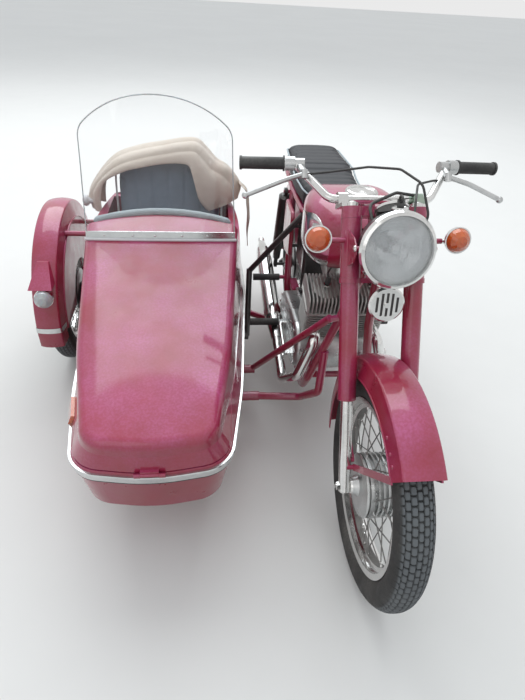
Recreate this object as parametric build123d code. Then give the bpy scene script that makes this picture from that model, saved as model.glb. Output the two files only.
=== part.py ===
"""Sidecar motorcycle: a twin-cylinder two-stroke solo machine with a boat-shaped single-seat sidecar.

Millimetres. +X is the rider's left, -Y is forward and +Z is up. While the pieces are drawn, X = 0 is
the motorcycle's middle plane, Y = 0 is the front axle and Z = 0 is the ground. At the end everything
is moved together so that the origin lies on the ground under the middle of the whole machine.
"""
from build123d import *
from math import cos, radians, sin
import os

# Running gear
WHEELBASE = 1336
RAKE = 28                   # steering axis from the vertical, degrees
FORK_OFFSET = 57            # axle ahead of the steering axis
TYRE_WIDTH = 94
SIDECAR_TYRE_WIDTH = 86
BIKE_TYRE_R = 318
BIKE_FLANGE_R = 241         # top of the rim flange
SIDECAR_TYRE_R = 298
SIDECAR_FLANGE_R = 219
SEAT_GAP = 0.3              # clearance of pieces that seat on each other
RUNNING_GAP = 0.05          # radial clearance of a turning fit
AXLE_R = 7.5
BITE = 3                    # how far a fused piece sinks into its neighbour
SPOKES = 36
SPOKE_R = 1.7

# Fork, along the steering axis from the front axle
LEG_X = 85                  # half the spacing of the legs
LEG_TOP = 741
COVER_R = 24.5
COVER_FOOT = 241
SLIDER_R = 16.5
SLIDER_FOOT = -18
LOWER_YOKE = 550
YOKE_T = 13
UPPER_COVER_R = 26.5
UPPER_COVER_TOP = 712
STEM_R = 13
HEAD_TUBE_R = 24
TOP_YOKE_T = 22
BAR_R = 11
BAR_CLAMP_W = 765
BAR_CLAMP_V = -44
GRIP_X, GRIP_W, GRIP_V = 352, 868, -132
BALL_X, BALL_W, BALL_V = 349, 775, -74
LAMP_W, LAMP_V, LAMP_R, LAMP_TILT = 628, 106, 88, 12
HORN_W, HORN_V, HORN_R = 497, 42, 47
SIGNAL_X, SIGNAL_W, SIGNAL_V, SIGNAL_R = 179, 657, 44, 33
STEER_LIMIT = 35

# Motorcycle body
SEAT_TOP = 838
TANK_TOP = 916
FENDER_T = 3
FENDER_HALF = 59
FRONT_FENDER_R = 362
REAR_FENDER_R = 372

# Sidecar
SIDECAR_X = -602            # middle plane of the sidecar body
WHEEL_X = -1034             # middle plane of the sidecar wheel
WHEEL_Y = 1120
FLOOR_Z = 190               # underside of the body
TRIM_Z = 385                # bright moulding round the body
WAIST_Z = 450               # shut line of the cowl on the sides
WALL = 4
COWL_BACK = 850             # rear edge of the cowl
SHUT_GAP = 4
CHASSIS_R = 17

STEER = Pos(0, 0, BIKE_TYRE_R) * Rot(-RAKE, 0, 0)
nodes = {}


def on_fork(x, v, w):
    """Place of a point given by its offset x, its lead v ahead of the axle line and its height w along it."""
    s, c = sin(radians(RAKE)), cos(radians(RAKE))
    return (x, w * s - v * c, BIKE_TYRE_R + w * c + v * s)


def facing(point, tilt=0):
    """Location at a point whose own Z looks forward, raised by tilt degrees."""
    return Plane(origin=point, x_dir=(1, 0, 0), z_dir=(0, -cos(radians(tilt)), sin(radians(tilt)))).location


def polygon(points, plane=Plane.XY):
    """Flat face with straight sides on a plane."""
    return plane * make_face(Polyline(*points, close=True))


def lathe(points):
    """Solid turned about Z from a closed outline of (radius, height) points."""
    return revolve(polygon(points, Plane.XZ), Axis.Z)


def lathe_x(points):
    """Solid turned about X from a closed outline of (x, radius) points."""
    return revolve(polygon(points, Plane.XZ), Axis.X)


def rod(start, end, radius):
    """Round bar between two points."""
    run = Vector(*end) - Vector(*start)
    return extrude(Plane(origin=start, z_dir=run) * Circle(radius), run.length)


def bent(points, radius, bend):
    """Round bar along straight runs joined by tangent arcs of one radius."""
    path = FilletPolyline(*points, radius=bend)
    return sweep(Plane(origin=path @ 0, z_dir=path % 0) * Circle(radius), path=path)


def both(shape):
    """A shape and its mirror image on the other side of the middle plane."""
    return shape + mirror(shape, Plane.YZ)


# Wheels
def tyre(radius, flange, width):
    """Road tyre about X: beads in the rim, bulging walls and a round crown."""
    half, seat = width / 2, flange - 12 + SEAT_GAP
    shoulder = (half - 9, radius - 17)
    right = [
        Line((0, seat), (26.5, seat)),
        Line((26.5, seat), (29.2, flange + 1)),
        ThreePointArc((29.2, flange + 1), (half, (flange + radius) / 2 - 2), shoulder),
        ThreePointArc(shoulder, (half * 0.48, radius - 4.5), (0, radius)),
    ]
    outline = Plane.XZ * make_face(right + [mirror(edge, Plane.YZ) for edge in right])
    return revolve(outline, Axis.X)


def spoked_wheel(flange, hub, hub_r, hub_ends):
    """Rim, crossed spokes and a given hub as one piece about X."""
    bed = flange - 12
    half = [(0, bed - 14), (8, bed - 14), (13, bed - 1), (27, bed), (30, flange), (33.5, flange),
            (31, bed - 3.5), (15, bed - 5), (11, bed - 17.5), (0, bed - 17.5)]
    upper = half[:6]
    lower = half[6:]
    outline = [(-x, r) for x, r in reversed(upper[1:])] + upper + lower + \
              [(-x, r) for x, r in reversed(lower[:-1])]
    rim = lathe_x(outline)
    spokes = []
    for number in range(SPOKES):
        side = number % 2
        lean = 1 if (number // 2) % 2 else -1
        root = radians(360 / SPOKES * number)
        tip = root + radians(24) * lean
        x_root = hub_ends[side] + 3.2 * lean
        spokes.append(rod((x_root, (hub_r - 2) * cos(root), (hub_r - 2) * sin(root)),
                          (x_root * 0.18, (bed - 15.5) * cos(tip), (bed - 15.5) * sin(tip)), SPOKE_R))
    return rim + hub + spokes


def drum_hub(ribs, wide):
    """Full-width brake drum about X with cooling ribs and a running bore for the axle."""
    bore = AXLE_R + RUNNING_GAP
    outline = [(-36, bore), (-36, 86), (-28, 88)]
    for number in range(ribs):
        foot = -28 + number * (wide / ribs)
        outline += [(foot + 2, 88), (foot + 3, 78), (foot + wide / ribs - 3, 78),
                    (foot + wide / ribs - 2, 88)]
    outline += [(wide - 28, 88), (wide - 22, 84), (wide - 14, 40), (wide - 6, 24), (wide - 4, bore)]
    return lathe_x(outline)


def wheel_at(name, place, radius, flange, width, hub, hub_ends):
    """Add one wheel's tyre and its spoked wheel at a place."""
    nodes[name + "_tyre"] = place * tyre(radius, flange, width)
    nodes[name + "_wheel"] = place * spoked_wheel(flange, hub, 86, hub_ends)


front_place = Pos(0, 0, BIKE_TYRE_R)
rear_place = Pos(0, WHEELBASE, BIKE_TYRE_R)
side_place = Pos(WHEEL_X, WHEEL_Y, SIDECAR_TYRE_R)
wheel_at("front", front_place, BIKE_TYRE_R, BIKE_FLANGE_R, TYRE_WIDTH, drum_hub(5, 66), (-30, 34))
wheel_at("rear", rear_place, BIKE_TYRE_R, BIKE_FLANGE_R, TYRE_WIDTH, drum_hub(5, 54), (-30, 22))
wheel_at("sidecar", side_place, SIDECAR_TYRE_R, SIDECAR_FLANGE_R, SIDECAR_TYRE_WIDTH,
         mirror(drum_hub(4, 60), Plane.YZ), (30, -26))


# Front fork and steering
def brake_plate(reach):
    """Dished brake plate about X that closes the drum's right side."""
    return lathe_x([(-37, AXLE_R - 1), (-37, 84), (-42, 88), (-46, 84), (-50, 60), (-51, 30), (-58, 26),
                    (-reach, 20), (-reach, AXLE_R - 1)])


leg_inner = LEG_X - SLIDER_R
leg_outer = LEG_X + SLIDER_R
axle = rod((-leg_outer - 5, 0, 0), (leg_outer + 5, 0, 0), AXLE_R)
axle += rod((LEG_X, 0, 0), (leg_outer + 12, 0, 0), AXLE_R - 1.5)
axle += rod((-LEG_X, 0, 0), (-leg_outer - 11, 0, 0), AXLE_R - 2)
nut = extrude(Plane.YZ * RegularPolygon(12, 6), 9)
spacer = rod((62.3, 0, 0), (leg_inner + BITE, 0, 0), 10)
axle_set = axle + Pos(leg_outer - BITE, 0, 0) * nut + Pos(-leg_outer - 9 + BITE, 0, 0) * nut + spacer

slider = Pos(LEG_X, 0, SLIDER_FOOT) * Cylinder(SLIDER_R, COVER_FOOT - SEAT_GAP - SLIDER_FOOT,
                                               align=(Align.CENTER, Align.CENTER, Align.MIN))
slider = chamfer(slider.edges().sort_by(Axis.Z)[0], 4)
nodes["fork_sliders"] = STEER * both(slider) + front_place * (brake_plate(leg_inner + BITE) + axle_set)


def upright(radius, bottom, top):
    """Round sleeve on one fork leg between two heights."""
    return Pos(LEG_X, 0, bottom) * Cylinder(radius, top - bottom,
                                            align=(Align.CENTER, Align.CENTER, Align.MIN))


lower_cover = upright(COVER_R, COVER_FOOT, LOWER_YOKE - SEAT_GAP)
lower_cover = chamfer(lower_cover.edges().sort_by(Axis.Z)[0], 2)
yoke_top = LOWER_YOKE + YOKE_T
upper_cover = upright(UPPER_COVER_R, yoke_top + SEAT_GAP, UPPER_COVER_TOP - SEAT_GAP)
ear = polygon([(-4, 590), (-72, 600), (-92, 618), (-92, 640), (-74, 660), (-4, 690)], Plane.YZ)
ear = Pos(LAMP_R + 8, 0, 0) * extrude(ear, 3)
signal_boss = rod((LEG_X, -12, SIGNAL_W), (SIGNAL_X - 30, -12, SIGNAL_W), 7)
lamp_bolt = facing(on_fork(0, LAMP_V, LAMP_W), LAMP_TILT) * rod((LAMP_R + SEAT_GAP, 0, -18),
                                                                 (LAMP_R + 12, 0, -18), 6)
nodes["fork_covers"] = STEER * both(lower_cover + (upper_cover + ear + signal_boss)) + both(lamp_bolt)


def yoke(bottom, thick, collar_r):
    """Plate that clamps both legs and carries the stem."""
    plate = polygon([(-LEG_X, -12), (LEG_X, -12), (LEG_X, 14), (28, FORK_OFFSET + 20),
                     (-28, FORK_OFFSET + 20),
                     (-LEG_X, 14)])
    plate = Pos(0, 0, bottom) * extrude(plate, thick)
    return plate + both(upright(collar_r, bottom, bottom + thick))


stem_top = LEG_TOP + 6
stem = Pos(0, FORK_OFFSET, LOWER_YOKE) * Cylinder(STEM_R, stem_top - LOWER_YOKE,
                                                  align=(Align.CENTER, Align.CENTER, Align.MIN))

top_bottom = LEG_TOP - TOP_YOKE_T
rings = both(upright(27, UPPER_COVER_TOP, top_bottom))
nodes["fork_yokes"] = STEER * (yoke(LOWER_YOKE, YOKE_T, 28) + stem + yoke(top_bottom, TOP_YOKE_T, 26)
                               + rings)

clamp = Pos(100, -BAR_CLAMP_V, LEG_TOP + SEAT_GAP) * Box(26, 34, BAR_CLAMP_W + 17 - LEG_TOP,
                                                        align=(Align.CENTER, Align.CENTER, Align.MIN))
clamp = fillet(clamp.edges().filter_by(Axis.X).group_by(Axis.Z)[-1], 12)
pad = Pos(92, 22, LEG_TOP + SEAT_GAP) * Box(42, 56, 9, align=(Align.CENTER, Align.CENTER, Align.MIN))
top_nut = upright(15, LEG_TOP + SEAT_GAP, LEG_TOP + 10)

bar_points = [(-GRIP_X, -GRIP_V, GRIP_W), (-212, -GRIP_V - 18, GRIP_W - 3),
              (-134, -BAR_CLAMP_V, BAR_CLAMP_W)]
bar_points += [(-x, y, z) for x, y, z in reversed(bar_points)]
nodes["handlebar"] = STEER * (bent(bar_points, BAR_R, 34) + both(clamp + pad + top_nut))


def along_bar(start, end, radius):
    """Sleeve on the left grip end of the bar, placed by its distances from the bar's end."""
    tip = Vector(*bar_points[-1])
    way = (Vector(*bar_points[-2]) - tip).normalized()
    return rod(tuple(tip + way * start), tuple(tip + way * end), radius)


grip = along_bar(-6, 112, 16) + along_bar(-8, -2, 18) + along_bar(108, 113, 20)
grip_bore = along_bar(0, 200, BAR_R + 0.02)
nodes["grips"] = STEER * both(grip - grip_bore)

perch = along_bar(114, 140, 18.5) + along_bar(140, 166, 14.5)
pivot = (196, -BALL_V - 8, GRIP_W - 38)
lever_arm = bent([pivot, (252, -BALL_V - 14, GRIP_W - 56), (BALL_X, -BALL_V, BALL_W)], 6.5, 120)
bracket = rod(pivot, (204, -GRIP_V - 14, GRIP_W - 4), 10)
pivot_bolt = Pos(*pivot) * Cylinder(9, 22)
ball = Pos(BALL_X, -BALL_V, BALL_W) * Sphere(9.5)
nodes["hand_levers"] = STEER * both(perch + bracket + pivot_bolt + lever_arm + ball) - nodes["handlebar"]

lamp_place = facing(on_fork(0, LAMP_V, LAMP_W), LAMP_TILT)
shell_outer = Pos(0, 0, -26) * Sphere(LAMP_R) - Pos(0, 0, 200 - 26) * Box(400, 400, 400)
shell_outer += Pos(0, 0, -26) * Cylinder(LAMP_R, 20, align=(Align.CENTER, Align.CENTER, Align.MIN))
shell_inner = Pos(0, 0, -26) * Sphere(LAMP_R - 3) - Pos(0, 0, 200 - 26) * Box(400, 400, 400)
shell_inner += Pos(0, 0, -26) * Cylinder(LAMP_R - 3, 40, align=(Align.CENTER, Align.CENTER, Align.MIN))
nodes["headlamp_shell"] = lamp_place * (shell_outer - shell_inner)
rim_ring = lathe([(LAMP_R - 6, -5.7), (LAMP_R + 6, -5.7), (LAMP_R + 7, 0), (LAMP_R + 3, 9), (LAMP_R - 4, 13),
                  (LAMP_R - 6, 8)])
mirror_bowl = lathe([(12, -52), (40, -40), (66, -20), (LAMP_R - 6, -4), (LAMP_R - 4, -5.7), (LAMP_R - 5, -9),
                     (68, -23), (41, -42.5), (12, -54.5)])
nodes["headlamp_rim"] = lamp_place * (rim_ring + mirror_bowl)
nodes["headlamp_lens"] = lamp_place * Pos(0, 0,
                                          3) * lathe([(0, 2), (60, 0), (LAMP_R - 6.3, -4), (LAMP_R - 6.3, 2),
                                                            (60, 8), (0, 12)])
key_switch = Plane(origin=(0, LAMP_R + 2, -24), z_dir=(0, 1, 0)).location
telltales = [Pos(x, LAMP_R + 1, -12) * Sphere(5.5) for x in (-12, 14)]
dial = Plane(origin=(0, 58, -62), z_dir=(0, 0.78, -0.62)).location
instruments = lamp_place * (key_switch * (Cylinder(17, 8) + Pos(0, 0, 14) * Box(3, 18, 24))
                            + dial * (Pos(0, 0, 12) * Cylinder(41, 34)) + telltales)
nodes["instruments"] = instruments - lamp_place * (Pos(0, 0, -26) * Sphere(LAMP_R + SEAT_GAP)) \
    - lamp_place * (Pos(0, 0, -26) * Cylinder(LAMP_R + SEAT_GAP, 80))

# Control cables from the perches over the lamp, and the wires behind it
CABLE_R = 3
cables = [
    bent([(-196, 462, 1014), (-128, 462, 1022), (-40, 408, 1054), (22, 350, 1068), (62, 292, 1052),
          (78, 254, 990),
          (58, 236, 930)], CABLE_R, 34),
    bent([(200, 468, 1006), (150, 440, 1012), (92, 392, 1018), (70, 330, 1000), (48, 250, 940)], CABLE_R,
         34),
    bent([(-46, 252, 945), (-52, 318, 990), (30, 366, 1004), (100, 398, 985)], 4, 30),
]
lamp_solid = lamp_place * Pos(0, 0, -26) * (Sphere(LAMP_R + SEAT_GAP) + Cylinder(LAMP_R + SEAT_GAP, 40))
nodes["control_cables"] = Part() + cables - lamp_solid - nodes["hand_levers"] - nodes["handlebar"] \
    - nodes["instruments"]

horn_place = facing(on_fork(0, HORN_V, HORN_W), LAMP_TILT)
horn_body = Pos(0, 0, -4) * lathe([(0, -22), (26, -22), (34, -8), (HORN_R, -4), (HORN_R, 3), (HORN_R - 5, 8),
                                   (0, 8)])
for column, length in ((-26, 40), (-13, 60), (0, 62), (13, 60), (26, 40)):
    horn_body -= Pos(column, 0, 6) * Box(6.5, length, 8)
horn_body += Pos(0, 0, 3) * Cylinder(7, 12)
nodes["horn"] = horn_place * horn_body + rod(on_fork(0, HORN_V - 32, HORN_W), on_fork(0, 6, LOWER_YOKE + 2),
                                             7) \
    - nodes["fork_yokes"]

for side, x in (("right", -SIGNAL_X), ("left", SIGNAL_X)):
    place = facing(on_fork(x, SIGNAL_V, SIGNAL_W), LAMP_TILT)
    bowl = lathe([(0, -40), (14, -38), (26, -26), (SIGNAL_R, -8), (SIGNAL_R + 1, 0), (SIGNAL_R - 2, 0),
                  (SIGNAL_R - 5, -8), (22, -22), (0, -32)])
    dome = lathe([(0, 24), (14, 21), (25, 12), (SIGNAL_R - 2.3, 0.3), (SIGNAL_R - 6, -4), (0, -4)])
    stalk = rod(on_fork(x * (1 - 30 / SIGNAL_X), 12, SIGNAL_W), on_fork(x, 12, SIGNAL_W), 6)
    nodes.setdefault("signal_shells", [])
    nodes.setdefault("signal_lenses", [])
    nodes["signal_shells"] += [place * bowl + stalk]
    nodes["signal_lenses"] += [place * dome]
nodes["signal_shells"] = Part() + nodes["signal_shells"]
nodes["signal_lenses"] = Part() + nodes["signal_lenses"]


# Fenders: a creased channel swept round a wheel
def swept(outline, start, end):
    """Solid turned about X, from one angle to another in degrees from straight ahead over the top."""
    return revolve(Rot(90 - start, 0, 0) * outline, Axis.X, revolution_arc=-(end - start))


def fender(radius, half, skirt, lean, start, end):
    """Channel about X between two angles, its side walls leaning inwards up to the creases."""
    def side(drop):
        crease = (half - lean - 0.8 * drop, radius - 8 - drop)
        return [Line((half - drop, radius - skirt), crease),
                ThreePointArc(crease, (crease[0] / 2, radius - 2 - drop), (0, radius - drop))]

    edges = side(0) + side(FENDER_T) + [Line((half, radius - skirt), (half - FENDER_T, radius - skirt))]
    outline = Plane.XZ * make_face(edges + [mirror(edge, Plane.YZ) for edge in edges])
    creases = [v for v in outline.vertices() if abs(abs(v.X) - half + lean) < 0.1]
    return swept(fillet(creases, 7), start, end)


def strap(start, end, thick, wide):
    """Flat bar between two points, thick along X."""
    run = Vector(*end) - Vector(*start)
    return extrude(Plane(origin=start, x_dir=(1, 0, 0), z_dir=run) * Rectangle(thick, wide), run.length)


nodes["front_fender"] = front_place * fender(FRONT_FENDER_R, FENDER_HALF, 62, 10, 52, 194)
front_stays = strap((64, 16, 374), (58, -186, 562), 4.5, 18) + strap((64, 34, 384), (58, 262, 472), 4.5, 18)
front_stays += rod((84, 16, 374), (61, 16, 374), 6.5) + rod((84, 34, 384), (61, 34, 384), 6.5)
nodes["front_fender"] += both(front_stays) - nodes["fork_sliders"]


# Motorcycle frame
head_axis = [on_fork(0, -FORK_OFFSET, w) for w in (yoke_top + SEAT_GAP, top_bottom - SEAT_GAP)]
head_bore = rod(on_fork(0, -FORK_OFFSET, 0), on_fork(0, -FORK_OFFSET, 900), STEM_R + RUNNING_GAP)
RAIL_X, RAIL_Z, RAIL_R = 104, 205, 14
PIVOT_Y, PIVOT_Z, PIVOT_R = 985, 330, 17
SEAT_RAIL_Z = 738
REAR_LOOP_Y, REAR_LOOP_Z = WHEELBASE + 4, 745
SHOCK_X, SHOCK_LOW, SHOCK_HIGH = 130, (WHEELBASE - 40, 328), (WHEELBASE - 186, 726)
STAND_Y, STAND_Z = 900, 177
top_tube = bent([on_fork(0, -FORK_OFFSET - 12, 655), (0, 610, 772), (0, 866, SEAT_RAIL_Z - 7)], 17, 160)
cradle = bent([(20, 352, 792), (52, 425, 560), (RAIL_X, 490, 300), (RAIL_X, 560, RAIL_Z),
               (RAIL_X, 985, RAIL_Z),
               (114, 1018, 380), (RAIL_X, WHEELBASE - 206, SEAT_RAIL_Z - 4)], RAIL_R, 50)
seat_rail = bent([(10, 858, SEAT_RAIL_Z), (96, 884, SEAT_RAIL_Z), (RAIL_X, WHEELBASE - 186, SEAT_RAIL_Z),
                  (98, REAR_LOOP_Y + 5, REAR_LOOP_Z)], 11, 60)
cross_bars = [rod((-RAIL_X, y, z), (RAIL_X, y, z), r) for y, z, r in
              ((620, RAIL_Z, 12), (960, RAIL_Z, 12), (1090, SEAT_RAIL_Z, 13))]
pivot_tube = rod((-110, PIVOT_Y, PIVOT_Z), (110, PIVOT_Y, PIVOT_Z), PIVOT_R)
rear_bar = rod((-98, REAR_LOOP_Y, REAR_LOOP_Z), (98, REAR_LOOP_Y, REAR_LOOP_Z), 9)
fender_post = rod((0, REAR_LOOP_Y, REAR_LOOP_Z),
                  (0, REAR_LOOP_Y, BIKE_TYRE_R + REAR_FENDER_R + SEAT_GAP), 9)
shock_studs = both(rod((RAIL_X, *SHOCK_HIGH), (SHOCK_X + 9, *SHOCK_HIGH), 7))
stand_lugs = both(Pos(98, STAND_Y, 182) * Box(6, 40, 38))
stand_pin = rod((-100, STAND_Y, STAND_Z), (100, STAND_Y, STAND_Z), 6)
rear_peg_studs = both(rod((106, 1030, 402), (190, 1030, 402), 8))
tank_rests = [Pos(0, y, z) * Box(30, 24, 70) for y, z in ((520, 830), (800, 765))]
engine_lugs = [both(Pos(92, y, z) * Box(30, deep, high)) for y, z, deep, high in
               ((525, 322, 90, 24), (970, 394, 90, 22), (700, 236, 30, 70))]
main_frame = rod(head_axis[0], head_axis[1],
                 HEAD_TUBE_R) + top_tube + both(cradle + seat_rail) + cross_bars \
    + pivot_tube + rear_bar + fender_post + shock_studs + stand_lugs + stand_pin + rear_peg_studs + tank_rests \
    + engine_lugs - head_bore

# Rear suspension and rear axle
ARM_X, ARM_R = 82, 13
arm = bent([(72, PIVOT_Y, PIVOT_Z), (74, 1060, 328), (ARM_X, 1120, 325),
            (ARM_X, WHEELBASE + 20, BIKE_TYRE_R)],
           ARM_R, 60)
arm_eye = rod((60, PIVOT_Y, PIVOT_Z), (88, PIVOT_Y, PIVOT_Z), PIVOT_R + 7) \
    - rod((0, PIVOT_Y, PIVOT_Z), (120, PIVOT_Y, PIVOT_Z), PIVOT_R + RUNNING_GAP)
arm -= rod((0, PIVOT_Y, PIVOT_Z), (120, PIVOT_Y, PIVOT_Z), PIVOT_R + RUNNING_GAP)
shock_foot = rod((ARM_X, *SHOCK_LOW), (SHOCK_X + 9, *SHOCK_LOW), 7)
rear_axle = rod((-ARM_X - ARM_R - 12, 0, 0), (ARM_X + ARM_R + 12, 0, 0), AXLE_R)
rear_axle += Pos(ARM_X + ARM_R - BITE, 0, 0) * nut + Pos(-ARM_X - ARM_R - 9 + BITE, 0, 0) * nut
nodes["swingarm"] = both(arm + arm_eye + shock_foot) + rear_place * (rear_axle
                                                                     + brake_plate(ARM_X - ARM_R + BITE))

shock_low, shock_high = Vector(SHOCK_X, *SHOCK_LOW), Vector(SHOCK_X, *SHOCK_HIGH)
shock_length = (shock_high - shock_low).length
shock = Plane(origin=shock_low, z_dir=shock_high - shock_low).location * lathe(
    [(0, 10), (9, 10), (9, 44), (17, 48), (17, 118), (25, 120), (25, shock_length - 24),
     (15, shock_length - 14), (0, shock_length - 14)])
for y, z in (SHOCK_LOW, SHOCK_HIGH):
    shock += rod((SHOCK_X - 7, y, z), (SHOCK_X + 7, y, z), 15)
for y, z in (SHOCK_LOW, SHOCK_HIGH):
    shock -= rod((SHOCK_X - 30, y, z), (SHOCK_X + 30, y, z), 7 + RUNNING_GAP)
nodes["rear_shocks"] = both(shock)

nodes["rear_fender"] = rear_place * fender(REAR_FENDER_R, 78, 70, 14, 40, 196)

case = polygon([(WHEELBASE - 314, BIKE_TYRE_R - 30), (WHEELBASE, BIKE_TYRE_R - 78),
                (WHEELBASE + 78, BIKE_TYRE_R),
                (WHEELBASE, BIKE_TYRE_R + 78), (WHEELBASE - 314, BIKE_TYRE_R + 50)], Plane.YZ)
case = fillet(case.vertices().sort_by(Axis.Y)[2:], 40)
case = Pos(52, 0, 0) * extrude(case, 16)
nodes["chain_case"] = fillet(case.edges().group_by(Axis.X)[-1], 6) - nodes["swingarm"]

# Engine: cases, finned twin cylinders, carburettor and exhausts
def stadium(circles, plane):
    """Flat outline that wraps a list of circles given by (u, v, radius)."""
    return plane * make_hull([edge for u, v, r in circles for edge in (Pos(u, v) * Circle(r)).edges()])


ENGINE_CIRCLES = ((628, 352, 88), (720, 350, 84), (880, 345, 68))
core = extrude(stadium([(630, 352, 96), (872, 345, 84)], Plane.YZ.offset(-92)), 184)
side = extrude(stadium(ENGINE_CIRCLES, Plane.YZ.offset(92)), 58)
side = fillet(side.edges().group_by(Axis.X)[-1], 22)
peg_studs = both(rod((140, 835, 306), (218, 835, 306), 8))
nodes["engine_cases"] = core + both(side) + peg_studs
nodes["main_frame"] = main_frame - nodes["engine_cases"] - nodes["rear_fender"]

LEAN = 18
cylinder_place = Pos(0, 600, 430) * Rot(LEAN, 0, 0)
FIN_COUNT, FIN_PITCH, FIN_T = 11, 11.5, 3.4
HEAD_FOOT, HEAD_HIGH = 158, 64
CYLINDER_X = 72
barrels, fins = [], []
fin_plate = extrude(RectangleRounded(122, 132, 24), FIN_T)
for sign in (-1, 1):
    barrels.append(Pos(sign * CYLINDER_X, 0, 20)
                   * Cylinder(47, 196, align=(Align.CENTER, Align.CENTER, Align.MIN)))
    for number in range(FIN_COUNT):
        fins.append(Pos(sign * CYLINDER_X, 0, 34 + number * FIN_PITCH) * fin_plate)
    fins.append(Pos(sign * CYLINDER_X, 0, HEAD_FOOT) * extrude(RectangleRounded(132, 146, 24), 8))
    fin = extrude(fillet(polygon([(-71, 0), (71, 0), (62, HEAD_HIGH), (-62, HEAD_HIGH)], Plane.YZ.offset(-2))
                         .vertices().group_by(Axis.Z)[-1], 16), 4)
    fins += [Pos(sign * CYLINDER_X + x, 0, HEAD_FOOT) * fin for x in range(-60, 61, 12)]
nodes["cylinders"] = cylinder_place * ((Part() + barrels) + fins) - nodes["engine_cases"]

header = bent([(CYLINDER_X + 14, 525, 504), (107, 462, 474), (148, 462, 330), (180, 560, 234),
               (178, 800, 259)], 18, 38)
silencer = Plane(origin=(178, 780, 257), z_dir=(0, 1, 0.125)).location * lathe(
    [(0, 0), (20, 0), (34, 130), (36, 180), (36, 560), (31, 640), (16, 712), (16, 740), (12, 740), (12, 700),
     (0, 700)])
nodes["exhausts"] = both(header + silencer) - nodes["cylinders"]

air_box = Pos(0, 937, 600) * Box(180, 170, 200)
cover_studs = [both(rod((88, y, z), (124 - SEAT_GAP, y, z), 6)) for y, z in ((956, 660), (1000, 560))]
nodes["air_box"] = fillet(air_box.edges(), 14) + cover_studs
intake = rod((0, 610, 525), (0, 854, 570), 27) + rod((0, 735, 480), (0, 735, 625), 24)
nodes["carburettor"] = intake - nodes["cylinders"] - nodes["air_box"]

# Tank, seat and side covers
TANK_SECTIONS = (           # y, half width, underside, top, corner radius
    (432, 66, 768, 866, 32),
    (505, 120, 718, 904, 56),
    (610, 146, 692, TANK_TOP, 70),
    (730, 132, 690, 900, 64),
    (842, 88, 700, 846, 42),
)


def lofted(sections, grow=0):
    """Body through rounded upright sections of the table, made larger all round by grow."""
    faces = []
    for y, half, low, high, corner in sections:
        face = RectangleRounded(2 * (half + grow), high - low + 2 * grow, corner + grow)
        faces.append(Pos(0, y, (low + high) / 2) * (Plane.XZ * face))
    return loft(faces)


tunnel = polygon([(400, 600), (400, 890), (640, 802), (900, 760), (900, 600)], Plane.YZ.offset(-24))
tank = lofted(TANK_SECTIONS)
nodes["fuel_tank"] = tank - extrude(tunnel, 48)
teardrop = stadium([(545, 792, 80), (700, 778, 48), (782, 770, 14)], Plane.YZ.offset(-200))
side_panels = (lofted(TANK_SECTIONS, 1.6) - lofted(TANK_SECTIONS, SEAT_GAP)) & extrude(teardrop, 400)
filler_cap = Pos(0, 562, TANK_TOP - 16) * lathe([(0, 0), (38, 0), (38, 24), (45, 26), (47, 32), (45, 41),
                                                 (40, 43),
                                                 (36, 39), (0, 42)])
nodes["tank_trim"] = side_panels + (filler_cap - lofted(TANK_SECTIONS, SEAT_GAP))
nodes["main_frame"] -= nodes["fuel_tank"]

SEAT_SECTIONS = (           # y, half width, underside, top, corner radius
    (846, 86, 762, 832, 26),
    (900, 106, 752, SEAT_TOP, 34),
    (1040, 116, 750, SEAT_TOP + 2, 38),
    (1100, 118, 750, SEAT_TOP + 17, 40),
    (1330, 108, 764, SEAT_TOP + 20, 42),
    (1400, 78, 782, SEAT_TOP + 5, 30),
)
nodes["seat"] = lofted(SEAT_SECTIONS)
nodes["main_frame"] -= lofted(SEAT_SECTIONS, SEAT_GAP)
cover = polygon([(926, 548), (1040, 520), (1094, 560), (1098, 722), (926, 722)], Plane.YZ)
cover = fillet(cover.vertices(), 26)
cover = Pos(124, 0, 0) * extrude(cover, 13)
cover = fillet(cover.edges().group_by(Axis.X)[-1], 9)
nodes["side_covers"] = both(cover)

tail_place = Plane(origin=(0, WHEELBASE + 336, 500), x_dir=(1, 0, 0), z_dir=(0, 0.94, 0.34)).location
nodes["tail_lamp"] = tail_place * (Cylinder(38, 46) - Pos(0, 0, 18) * Cylinder(34, 20)) \
    - rear_place * Rot(0, 90, 0) * Cylinder(REAR_FENDER_R + SEAT_GAP, 400)
nodes["tail_lens"] = tail_place * Pos(0, 0,
                                      8 + SEAT_GAP) * lathe([(0, 0), (33.7, 0), (33.7, 15), (26, 24), (0, 28)])

# Foot controls and the folded centre stand
nodes["foot_pegs"] = both(rod((168, 835, 306), (282, 835, 306), 14)
                          + rod((148, 1030, 402), (258, 1030, 402), 14)) \
    - peg_studs - rear_peg_studs
brake_pedal = bent([(-150, 792, 330), (-168, 792, 330), (-168, 660, 304), (-168, 612, 318)], 7, 14)
shift_lever = bent([(150, 760, 340), (170, 760, 340), (172, 700, 312), (172, 604, 322)], 7, 14)
kick_lever = bent([(150, 872, 372), (170, 872, 372), (176, 906, 486)], 8, 16) + rod((172, 906, 486),
                                                                                    (232, 906, 486), 9)
nodes["foot_levers"] = brake_pedal + Pos(-164, 616, 322) * Box(40, 40, 10) + shift_lever \
    + rod((158, 606, 322), (206, 606, 322), 10) + kick_lever - nodes["engine_cases"]

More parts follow.
